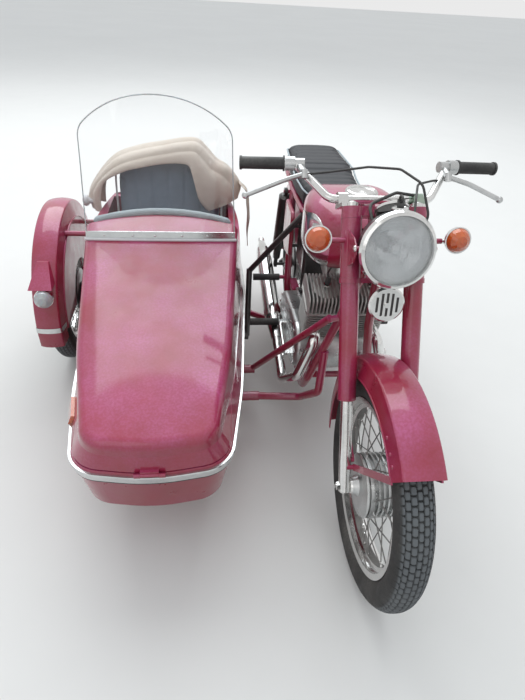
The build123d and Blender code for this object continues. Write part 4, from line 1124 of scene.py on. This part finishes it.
    def dress(self) -> None:
        """Give the sliders and the bar their two finishes each and build every fitting."""
        brake_side = (-48, 0, FRONT_HUB[2])
        slider = Banded("slider_metal", (POLISHED_ALLOY, CHROME), (95.0,), brake_side, (5.0, 1.0, 1.0))
        assign("fork_sliders", slider.material())
        bar = Banded("bar_metal", (ZINC_CLAMP, CHROME), (24.0,), (100, 398, 973), (1.0, 0.6, 0.6))
        assign("handlebar", bar.material())
        self.build_lens()
        self.build_bulb()
        self.build_switch()
        self.build_front_fender_trim()
        self.build_bolts()


@dataclass
class Motorcycle:
    """The solo machine's own soft and small pieces: seat, cap, plugs, leads and screws.

    Each of the saddle's sections is its place, half width, lower and upper level and squareness.
    """

    seat_front: float = 850.0
    seat_back: float = 1398.0
    sections: tuple[tuple[float, ...], ...] = (
        (850, 86, 764, 830, 0.42), (905, 106, 755, 836, 0.34), (1040, 115, 753, 838, 0.30),
        (1105, 117, 753, 853, 0.30), (1335, 107, 767, 856, 0.32), (1396, 80, 782, 841, 0.42))
    seams: tuple[float, ...] = tuple(930.0 + 42.0 * k for k in range(10))
    cap_at: tuple[float, float, float] = (0.0, 562.0, 900.0)
    cap_radius: float = 47.2
    cap_waves: int = 36
    cylinder_foot: tuple[float, float] = (600.0, 430.0)
    cylinder_lean: float = 18.0
    cylinder_rise: float = 224.0
    cylinder_aside: float = 72.0

    def build_seat(self) -> None:
        """Loft the saddle through rounded sections, swell it, sink its cross seams and pipe its edges."""
        table = np.array(self.sections)
        run = np.linspace(0, 1, 60)
        y = self.seat_front + (self.seat_back - self.seat_front) * (0.5 - 0.5 * np.cos(np.pi * run))
        half, low, high, power = (np.interp(y, table[:, 0], table[:, k])[:, None] for k in (1, 2, 3, 4))
        turn = full_turn(72)[None, :]
        squash = np.clip(np.sin(np.pi * run) * 9, 0, 1)[:, None] ** 0.5
        x = half * squash * signed_power(np.cos(turn), power)
        z = (low + high) / 2 + (high - low) / 2 * squash * signed_power(np.sin(turn), power)
        grid = np.stack([x, np.broadcast_to(y[:, None], x.shape), z], axis=-1)
        seat = Shape().grid(grid, loop_v=True).build("saddle", VINYL_BLACK, "chassis")
        swell(seat, 0.006, 0.005)
        press_seams(seat, 1, self.seams, 0.004, 0.006, (0, 0, 1.0))
        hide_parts("seat")
        piping = Shape()
        rail = np.linspace(870, 1385, 70)
        for sign in (-1, 1):
            side = np.interp(rail, table[:, 0], table[:, 1]) + 2.0
            up = np.interp(rail, table[:, 0], table[:, 3]) - 16.0
            piping.cord(np.stack([sign * side, rail, up], axis=-1), 3.2, 10)
        piping.build("saddle_piping", VINYL_GREY, "chassis")

    def build_cap(self) -> None:
        """Knurl the filler cap's rim: a ring whose radius rises and falls in even waves."""
        turn = full_turn(288)
        levels = np.array([(0.95, 26.5), (1.0, 29.5), (1.0, 37.0), (0.95, 40.5)])
        reach = (self.cap_radius + 0.8 * np.cos(self.cap_waves * turn)) * levels[:, :1]
        grid = np.stack([reach * np.cos(turn), reach * np.sin(turn), levels[:, 1:] + 0 * turn], axis=-1)
        place = Place(self.cap_at, (0, 0, 1))
        Shape().grid(place.put(grid), loop_u=True, loop_v=True).build("cap_knurled_rim", CHROME, "chassis")

    def build_plugs(self) -> None:
        """Stand a spark plug with its cap on each cylinder and lead a wire back under the tank."""
        lean = np.radians(self.cylinder_lean)
        up = np.array([0, -np.sin(lean), np.cos(lean)])
        plugs, caps, leads = Shape(), Shape(), Shape()
        for x in (-self.cylinder_aside, self.cylinder_aside):
            foot = np.array([x, *self.cylinder_foot]) + up * self.cylinder_rise
            place = Place(foot, up)
            plugs.spun([(0, 0), (11, 0), (11, 8), (6, 9), (6, 16), (0, 16)], 16, place)
            caps.spun([(0, 12), (9, 12), (9, 30), (6, 36), (0, 37)], 16, place)
            bend, low = foot + up * 46 + (0, 18, 0), foot + (-x * 0.4, 70, 34)
            leads.cord(smooth_line([foot + up * 34, bend, low, (x * 0.3, 700, 650)], 30), 3.2, 10)
        plugs.build("spark_plugs", CHROME, "chassis")
        caps.build("plug_caps", RUBBER, "chassis")
        leads.build("plug_leads", RUBBER, "chassis")

    def build_case_screws(self) -> None:
        """Head the covers' screws round the engine's side covers."""
        spots = [(628 + 74 * np.cos(a), 352 + 74 * np.sin(a)) for a in np.radians((60, 110, 170, 230, 290))]
        spots += [(880 + 54 * np.cos(a), 345 + 54 * np.sin(a)) for a in np.radians((-60, 0, 60))]
        for sign in (-1, 1):
            heads = domes([(sign * 149.5, y, z) for y, z in spots], (sign, 0, 0), 6.0, 3.0)
            heads.build(sided("case_screws", sign), STAINLESS, "chassis")

    def dress(self) -> None:
        """Build every piece of the solo machine."""
        self.build_seat()
        self.build_cap()
        self.build_plugs()
        self.build_case_screws()


HOOD_OUTER = ((-316, 608), (-324, 668), (-277, 742), (-203, 816), (-116, 851), (-4, 873), (70, 884),
              (122, 880), (158, 848), (196, 806), (247, 778), (296, 716), (286, 656))
HOOD_INNER = ((-276, 600), (-270, 672), (-244, 734), (-168, 776), (-100, 793), (-30, 804), (40, 808),
              (84, 802), (98, 768), (110, 716), (122, 668), (146, 628), (162, 610))
STRAP_LINE = ((286, 1240, 736), (318, 1226, 700), (326, 1230, 640), (332, 1236, 580), (329, 1240, 516),
              (332, 1240, 448))


@dataclass
class Sidecar:
    """The passenger body's dress: hood, seat, roll, pipings, mouldings and fender trim."""

    crown: float = 1000.0
    nose_top: float = 490.0
    nose_rise: float = 16.4
    screen_y: float = 728.0
    screen_bend: float = 700.0
    screen_tilt: float = 8.0
    screen_base: float = 715.0
    screws: tuple[float, ...] = (-243.0, -185.0, -90.0, -17.0, 70.0, 154.0, 241.0)
    roll_y: float = 864.3
    roll_half: float = 236.0
    roll_drop: float = 36.0
    roll_radius: float = 13.2
    rubber_inset: float = 4.5
    rubber_drop: float = 3.2
    seams: tuple[float, ...] = (-130.0, -65.0, 0.0, 65.0, 130.0)
    hood_y: float = 1278.0
    hood_steps: int = 240
    strap_steps: int = 120
    fender_radius: float = 374.0
    fender_half: float = 52.0
    crease_half: float = 44.0

    def cowl_height(self, x: np.ndarray, y: np.ndarray) -> np.ndarray:
        """Return the cowl's height: the nose's rise backwards less the drop of its crosswise arc."""
        drop = (self.crown - np.sqrt(self.crown**2 - x**2)) / np.cos(np.radians(self.nose_rise))
        return self.nose_top + y * np.tan(np.radians(self.nose_rise)) - drop

    def screen_line(self, x: np.ndarray, ahead: float, lift: float) -> np.ndarray:
        """Lay the screen's arc in plan on the cowl's height, some way ahead of the screen and lifted."""
        y = self.screen_y + self.screen_bend - np.sqrt(self.screen_bend**2 - x**2) - ahead
        return np.stack([x + SIDECAR_X, y, self.cowl_height(x, y) + lift], axis=-1)

    def build_screen_trim(self) -> None:
        """Lay the white piping at the screen's foot and head the strip's screws."""
        piping = self.screen_line(np.linspace(-252, 252, 90), 6.5, 3.6)
        Shape().cord(piping, 5.0, 14).build("screen_piping", PIPING, "tilting_cowl")
        spots = self.screen_line(np.array(self.screws), 2.2, 15)
        domes(spots, (0, -1, 0.1), 4.6, 2.4).build("strip_screws", STAINLESS, "tilting_cowl")

    def build_screen_edge(self) -> None:
        """Run the screen's polished edge as a pale frosted line, a painted highlight: its outline from the
        front, laid on the bent and tilted sheet.
        """
        turn, radius = np.radians(np.linspace(0, 47, 16)), 64.0
        corner = np.stack([172.5 + radius * np.cos(turn), 999.5 + radius * np.sin(turn)], axis=-1)
        side = [(246.0, 708.0), (244.0, 770.0), (241.0, 850.0), (238.5, 920.0)]
        right = np.vstack([side, corner, arc_through(corner[-1], (118, 1110.0), (0, 1132.0), 24)[1:]])
        x, z = np.vstack([right, right[::-1][1:] * (-1, 1)]).T
        tilt = np.radians(self.screen_tilt)
        deep = self.screen_bend - np.sqrt((self.screen_bend - 1.5) ** 2 - x**2)
        high = (z - self.screen_base + deep * np.sin(tilt)) / np.cos(tilt)
        y = self.screen_y + deep * np.cos(tilt) + high * np.sin(tilt)
        line = np.stack([x + SIDECAR_X, y, z], axis=-1)
        # The pale frosted tube along the outline is a painted highlight on the clear edge.
        edge = Shape().cord(smooth_line(line, 260), 1.9, 10)
        edge.build("screen_edge_painted_highlight", FROSTED, "tilting_cowl")

    def build_roll(self) -> None:
        """Fill the cowl's padded roll: an arched tube, a little slack between its stitches."""
        x = np.linspace(-self.roll_half, self.roll_half, 120)
        y = np.full_like(x, self.roll_y)
        z = self.cowl_height(x * 0, y) + 1.0 - self.roll_drop * (x / (self.roll_half + 2)) ** 2
        path = np.stack([x + SIDECAR_X, y, z], axis=-1)
        ends = np.clip((1 - np.abs(x) / (self.roll_half + 1)) * 16, 0.03, 1) ** 0.5
        radius = self.roll_radius * ends * (1 + 0.02 * np.sin(x / 9.0))
        roll = Shape().cord(path, radius, 28)
        piece = roll.build("padded_cowl_roll", VINYL_GREY, "tilting_cowl")
        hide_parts("cowl_roll")

    def build_moulding_line(self) -> None:
        """Run the black rubber line under the moulding: the hull of its lower edge, drawn in a little."""
        spots = read_vectors(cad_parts["trim_moulding"].data.vertices, "co")
        spots = np.unique(spots.round(5), axis=0)
        low = spots[spots[:, 2] < spots[:, 2].min() + MM]
        turn = full_turn(720)
        pick = np.argmax(low[:, :2] @ np.stack([np.cos(turn), np.sin(turn)]), axis=0)
        first = np.flatnonzero(pick != np.roll(pick, 1))
        last = np.append(first[1:], first[0] + len(turn))
        middle = (turn[first] + turn[1] * last) / 2
        inward = self.rubber_inset * MM * np.stack([np.cos(middle), np.sin(middle)], axis=-1)
        corners = low[pick[first], :2] - inward
        ring = np.vstack([corners, corners[:1]])
        run = np.concatenate([[0], np.cumsum(np.linalg.norm(np.diff(ring, axis=0), axis=1))])
        even = np.linspace(0, run[-1], 500, endpoint=False)
        level = np.full_like(even, low[:, 2].min() - self.rubber_drop * MM)
        path = np.stack([np.interp(even, run, ring[:, 0]), np.interp(even, run, ring[:, 1]), level], axis=-1)
        line = Shape().hoop((path - ORIGIN) / MM, 3.4, 10)
        line.build("moulding_rubber_line", RUBBER, "chassis")

    def build_pad(self, name: str, block: np.ndarray, voxel: float, face: Point) -> Piece:
        """Build one swollen pad with upright channels sewn into one side.

        Args:
            name: Piece name.
            block: Grid of its rounded block.
            voxel: Remesh size in metres.
            face: Direction of its sewn side.

        Returns:
            The pad.
        """
        pad = Shape().grid(block, loop_v=True).build(name, VINYL_SLATE, "chassis")
        swell(pad, voxel, 0.008)
        press_seams(pad, 0, [SIDECAR_X + x for x in self.seams], 0.005, 0.006, face)
        return pad

    def build_seat(self) -> None:
        """Upholster the seat: a leaning back, a cushion on its base and piping down the back's edges."""
        back = Place((SIDECAR_X, 1292, 600), (0, 0.17, 0.985))
        block = rounded_block(back, (428, 52, 372), 0.34, 40, 80)
        backrest = self.build_pad("passenger_backrest", block, 0.006, (0, -1.0, 0))
        seat = Place((SIDECAR_X, 1082, 330), (0, 0, 1))
        block = rounded_block(seat, (414, 290, 132), 0.30, 32, 72)
        cushion = self.build_pad("passenger_cushion", block, 0.007, (0, 0, 1.0))
        base = Place((SIDECAR_X, 1082, 227), (0, 0, 1))
        box = Shape().grid(rounded_block(base, (376, 276, 62), 0.12, 16, 48), loop_v=True)
        box.build("passenger_seat_base", BLACK_ENAMEL, "chassis")
        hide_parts("sidecar_seat")
        edges = Shape()
        for sign in (-1, 1):
            side = [(214, -20, -170), (217, -22, 0), (214, -20, 150), (190, -14, 184)]
            knots = back.put(np.array(side) * (sign, 1, 1))
            edges.cord(smooth_line(knots, 50), 4.0, 10)
        edges.build("backrest_piping", PIPING, "chassis")

    def hood_surface(self) -> np.ndarray:
        """Fold the hood over its hoop, in pleats that follow the arch.

        At each place along the arch the cloth runs from the front lower edge, over the outer line and down
        behind: half a turn, whose rise is a power of the sine, plus waves across itself.

        Returns:
            The grid of points.
        """
        outer, inner = smooth_line(HOOD_OUTER, self.hood_steps), smooth_line(HOOD_INNER, self.hood_steps)
        run = np.linspace(0, 1, self.hood_steps)[:, None]
        across = np.linspace(0, 1, 90)[None, :]
        angle = np.pi * across
        rise = np.sin(angle) ** 0.75
        depth = (66 + 16 * np.sin(np.pi * run)) * (1 - 0.12 * np.cos(4 * np.pi * run))
        pleat = np.abs(np.sin(np.pi * (4.2 * across + 0.35 * np.sin(5.0 * run) + 0.2 * run)))
        wobble = 0.55 * np.sin(9 * run + 3 * across) + 0.45 * np.sin(23 * run + 5 * across)
        swell_out = (pleat - 0.5) * 9.0 * np.sin(angle) ** 0.4 + wobble * 1.6
        level = inner[:, None] + (outer - inner)[:, None] * rise[..., None]
        way = (outer - inner) / np.linalg.norm(outer - inner, axis=1)[:, None]
        level = level + way[:, None] * (swell_out * np.sin(angle))[..., None]
        y = self.hood_y - depth * np.cos(angle) - swell_out * signed_power(np.cos(angle), 1.0)
        return np.stack([level[..., 0] + SIDECAR_X, y, level[..., 1]], axis=-1)

    def strap_surface(self) -> np.ndarray:
        """Hang the strap: a band of changing width about its middle line, waving a little across itself.

        Returns:
            The grid of points.
        """
        middle = smooth_line(STRAP_LINE, self.strap_steps)
        run = np.linspace(0, 1, self.strap_steps)[:, None]
        half = np.interp(run, [0, 0.12, 0.3, 0.6, 1], [16, 30, 22, 26, 15])
        across = np.linspace(-1, 1, 24)[None, :]
        x = middle[:, :1] + 5.0 * np.sin(7 * across + 6 * run) * np.sin(np.pi * np.clip(run * 1.1, 0, 1))
        y = middle[:, 1:2] + half * across
        z = middle[:, 2:] + 4.0 * np.cos(3 * across + 9 * run)
        return np.stack([x + SIDECAR_X, y, z], axis=-1)

    def build_hood(self) -> None:
        """Set the folded hood, the strap of cloth that hangs outside it and the round fastener."""
        grid = self.hood_surface()
        shape = Shape().grid(grid, thread=cloth_coordinates(grid))
        hood = shape.build("folded_hood", HOOD_CLOTH, "chassis", 180)
        thicken(hood, CLOTH_THICKNESS)
        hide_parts("soft_top")
        strap_grid = self.strap_surface()
        shape = Shape().grid(strap_grid, thread=cloth_coordinates(strap_grid))
        strap = shape.build("hood_loose_strap", HOOD_CLOTH, "chassis", 180)
        thicken(strap, CLOTH_THICKNESS)
        knob = Place((SIDECAR_X - 300, 1240, 642), (-1, 0, 0), (0, 1, 0))
        profile = [(0, 6), (13, 6), (14, 24), (21, 30), (23, 36), (23, 42), (18, 48), (8, 51), (0, 52)]
        Shape().spun(profile, 40, knob).build("hood_fastener", PIPING, "chassis")

    def build_fender_trim(self) -> None:
        """Add the fender's outer bead and the steel strip and the flap at its front."""
        bead = wheel_arc(SIDECAR_HUB, 1 - self.fender_half, self.fender_radius - 77, 1, 183)
        Shape().cord(bead, 2.8, 10).build("sidecar_fender_bead", CARMINE, "chassis")
        self.build_wrap("fender_strip", STAINLESS, (3.0, 6.0), 0.6, 1.6)
        self.build_wrap("fender_flap", CARMINE, (-7.0, 0.6), -1.6, 1.4)

    def build_wrap(self, name: str, finish: Finish, span: Point, lift: float, thick: float) -> None:
        """Wrap a band across the fender's face: the fender's own section, lifted, between two angles.

        Args:
            name: Piece name.
            finish: Its finish.
            span: First and last angle from straight ahead, in degrees.
            lift: Height above the fender's skin.
            thick: Its thickness.
        """
        half, radius, crease = self.fender_half, self.fender_radius, self.crease_half
        top = (crease - 6.5, radius - 6.3)
        corner = arc_through((crease + 0.8, radius - 15), (crease - 1.3, radius - 9.2), top, 10)
        crown = arc_through(top, (crease / 2, radius - 2), (0, radius), 12)
        right = np.vstack([[[half - 2.0, radius - 60]], corner, crown[1:]])
        section = np.vstack([right, right[::-1][1:] * (-1, 1)])
        angle = np.radians(np.linspace(*span, 10))[:, None]
        skins = []
        for extra in (lift, lift + thick):
            reach = section[:, 1] + extra
            x = section[:, 0] * (1 + extra / half)
            skins.append(np.stack([x + 0 * angle, -reach * np.cos(angle), reach * np.sin(angle)], axis=-1))
        grid = np.hstack([skins[0], skins[1][:, ::-1]]) + np.array(SIDECAR_HUB)
        Shape().grid(grid, loop_v=True, capped=True).build(name, finish, "chassis")

    def dress(self) -> None:
        """Build every piece of the sidecar."""
        self.build_screen_trim()
        self.build_screen_edge()
        self.build_roll()
        self.build_moulding_line()
        self.build_seat()
        self.build_hood()
        self.build_fender_trim()
        struts = Banded("frame_paint", (BLACK_ENAMEL, CARMINE), (95.0,), (-300, 940, 500), (0.0, 1.0, 0.2))
        assign("sidecar_frame", struts.material())


def cloth_coordinates(grid: np.ndarray) -> np.ndarray:
    """Measure a sheet's own coordinates: the run of length along rows and along columns, in metres.

    Args:
        grid: Points of the sheet in the drawing.

    Returns:
        Cloth coordinates of each point.
    """
    along = np.linalg.norm(np.diff(grid, axis=0), axis=-1).mean(axis=1)
    across = np.linalg.norm(np.diff(grid, axis=1), axis=-1).mean(axis=0)
    u = np.concatenate([[0], np.cumsum(along)]) * MM
    v = np.concatenate([[0], np.cumsum(across)]) * MM
    return np.stack([u[:, None] + 0 * v, v[None, :] + 0 * u[:, None], np.zeros((len(u), len(v)))], axis=-1)


def thicken(piece: Piece, thickness: float) -> None:
    """Give a sheet its thickness in metres with a live modifier."""
    solid = piece.modifiers.new("cloth_thickness", "SOLIDIFY")
    solid.thickness, solid.offset = thickness, 0.0


@dataclass
class Studio:
    """Floor, lights and the camera at the photograph's angle.

    The camera's place is in the drawing; its turns are to the right, down and about its own line of sight.
    """

    floor_colour: Colour = (0.74, 0.71, 0.67)
    floor_half: float = 30.0
    sky: float = 0.85
    sky_low: Colour = (0.30, 0.29, 0.285)
    sky_high: Colour = (1.04, 1.13, 1.22)
    backdrop: Colour = (0.97, 0.97, 0.97)
    box_light: float = 2.9
    fill_light: float = 0.5
    camera_at: tuple[float, float, float] = (-451.8, -888.2, 1443.5)
    camera_turns: tuple[float, float, float] = (7.52, 36.36, 3.72)
    lens: float = 26.59
    sensor: float = 36.0

    def build_floor(self) -> None:
        """Lay the plain pale floor."""
        paler = tuple(c * 1.03 for c in self.floor_colour)
        finish = StageFinish(
            "studio_floor", self.floor_colour, paler, (0.8, 0.9), "none", mottle=0.6, relief=Relief.RUBBER,
            grain=40.0, depth=0.0001, dust_and_sheen=0.0)
        half = self.floor_half
        mesh = bpy.data.meshes.new("studio_floor")
        corners = [(-half, -half, 0), (half, -half, 0), (half, half, 0), (-half, half, 0)]
        mesh.from_pydata(corners, [], [(0, 1, 2, 3)])
        floor = add_object("studio_floor", mesh)
        mesh.materials.append(finish.material())

    def build_light(self, name: str, place: Point, aim: Point, size: tuple[float, float],
                    radiance: float, colour: Colour) -> None:
        """Hang a soft box: its power is its brightness times its area times pi.

        Args:
            name: Lamp name.
            place: Its place in metres.
            aim: The point that it faces.
            size: Its width and height.
            radiance: Brightness of its face.
            colour: Its tint.
        """
        data = bpy.data.lights.new(name, "AREA")
        data.shape, data.size, data.size_y = "RECTANGLE", size[0], size[1]
        data.energy, data.color = radiance * np.pi * size[0] * size[1], colour
        back = np.array(place, float) - np.array(aim, float)
        back /= np.linalg.norm(back)
        side = np.cross((0.0, 1.0, 0.01), back)
        side /= np.linalg.norm(side)
        axes = Matrix(np.stack([side, np.cross(back, side), back], axis=1).tolist()).to_4x4()
        add_object(name, data).matrix_world = Matrix.Translation(place) @ axes

    def build_world(self) -> None:
        """Fill the surroundings with a sky that brightens upwards, before the plain backdrop that shows."""
        world = bpy.data.worlds.new("studio_sky")
        bpy.context.scene.world = world
        world.use_nodes = True
        world.node_tree.nodes.clear()
        w = Writer(world.node_tree)
        coords = w.node("ShaderNodeTexCoord").outputs["Generated"]
        up = w.node("ShaderNodeSeparateXYZ", {0: coords}).outputs[2]
        rise = w.spread(up, 0.0, 1.0, -0.1, 0.7)
        colour = w.blend(rise, (*self.sky_low, 1), (*self.sky_high, 1))
        colour = w.blend(w.shown(), colour, (*self.backdrop, 1))
        back = w.node("ShaderNodeBackground", {"Color": colour, "Strength": self.sky})
        w.node("ShaderNodeOutputWorld", {0: back.outputs[0]})

    def build_camera(self) -> None:
        """Set the camera where the photograph was taken from."""
        yaw, pitch, roll = np.radians(self.camera_turns)
        forward = np.array([np.sin(yaw) * np.cos(pitch), np.cos(yaw) * np.cos(pitch), -np.sin(pitch)])
        right = np.array([np.cos(yaw), -np.sin(yaw), 0.0])
        up = np.cross(right, forward)
        across = np.cos(roll) * right + np.sin(roll) * up
        upward = -np.sin(roll) * right + np.cos(roll) * up
        data = bpy.data.cameras.new("photo_camera")
        data.sensor_fit, data.sensor_width, data.sensor_height = "VERTICAL", self.sensor, self.sensor
        data.lens = self.lens
        camera = add_object("photo_camera", data)
        axes = Matrix(np.stack([across, upward, -forward], axis=1).tolist()).to_4x4()
        camera.matrix_world = Matrix.Translation(placed(self.camera_at)) @ axes
        bpy.context.scene.camera = camera

    def dress(self) -> None:
        """Build the whole studio."""
        self.build_floor()
        self.build_world()
        self.build_light("overhead_box", (-0.4, 3.6, 5.6), (0.0, 0.1, 0.5), (6.0, 5.0), self.box_light,
                         (0.90, 0.96, 1.0))
        self.build_light("front_fill", (-2.5, -4.5, 3.4), (0.0, 0.0, 0.5), (4.0, 3.0), self.fill_light,
                         (1.0, 0.98, 0.96))
        self.build_camera()
        bpy.context.scene.view_settings.view_transform = "Standard"


def main() -> None:
    """Dress the machine and set the studio."""
    logging.basicConfig(level=logging.INFO, format="%(message)s")
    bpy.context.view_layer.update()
    for finish, nodes in CAD_FINISHES.items():
        for node in nodes.split():
            assign(node, finish.material())
    wheels = [
        RoadWheel("front", "front_wheel_body", FRONT_HUB, FRONT_HUB[2], 241.0),
        RoadWheel("rear", "rear_wheel_body", REAR_HUB, REAR_HUB[2], 241.0),
        RoadWheel("sidecar", "sidecar_wheel_body", SIDECAR_HUB, SIDECAR_HUB[2], 219.0, 43.0),
    ]
    for part in (*wheels, SteeringHead(), Motorcycle(), Sidecar(), Studio()):
        part.dress()
        LOG.info("dressed %s", type(part).__name__)


if __name__ == "__main__":
    main()
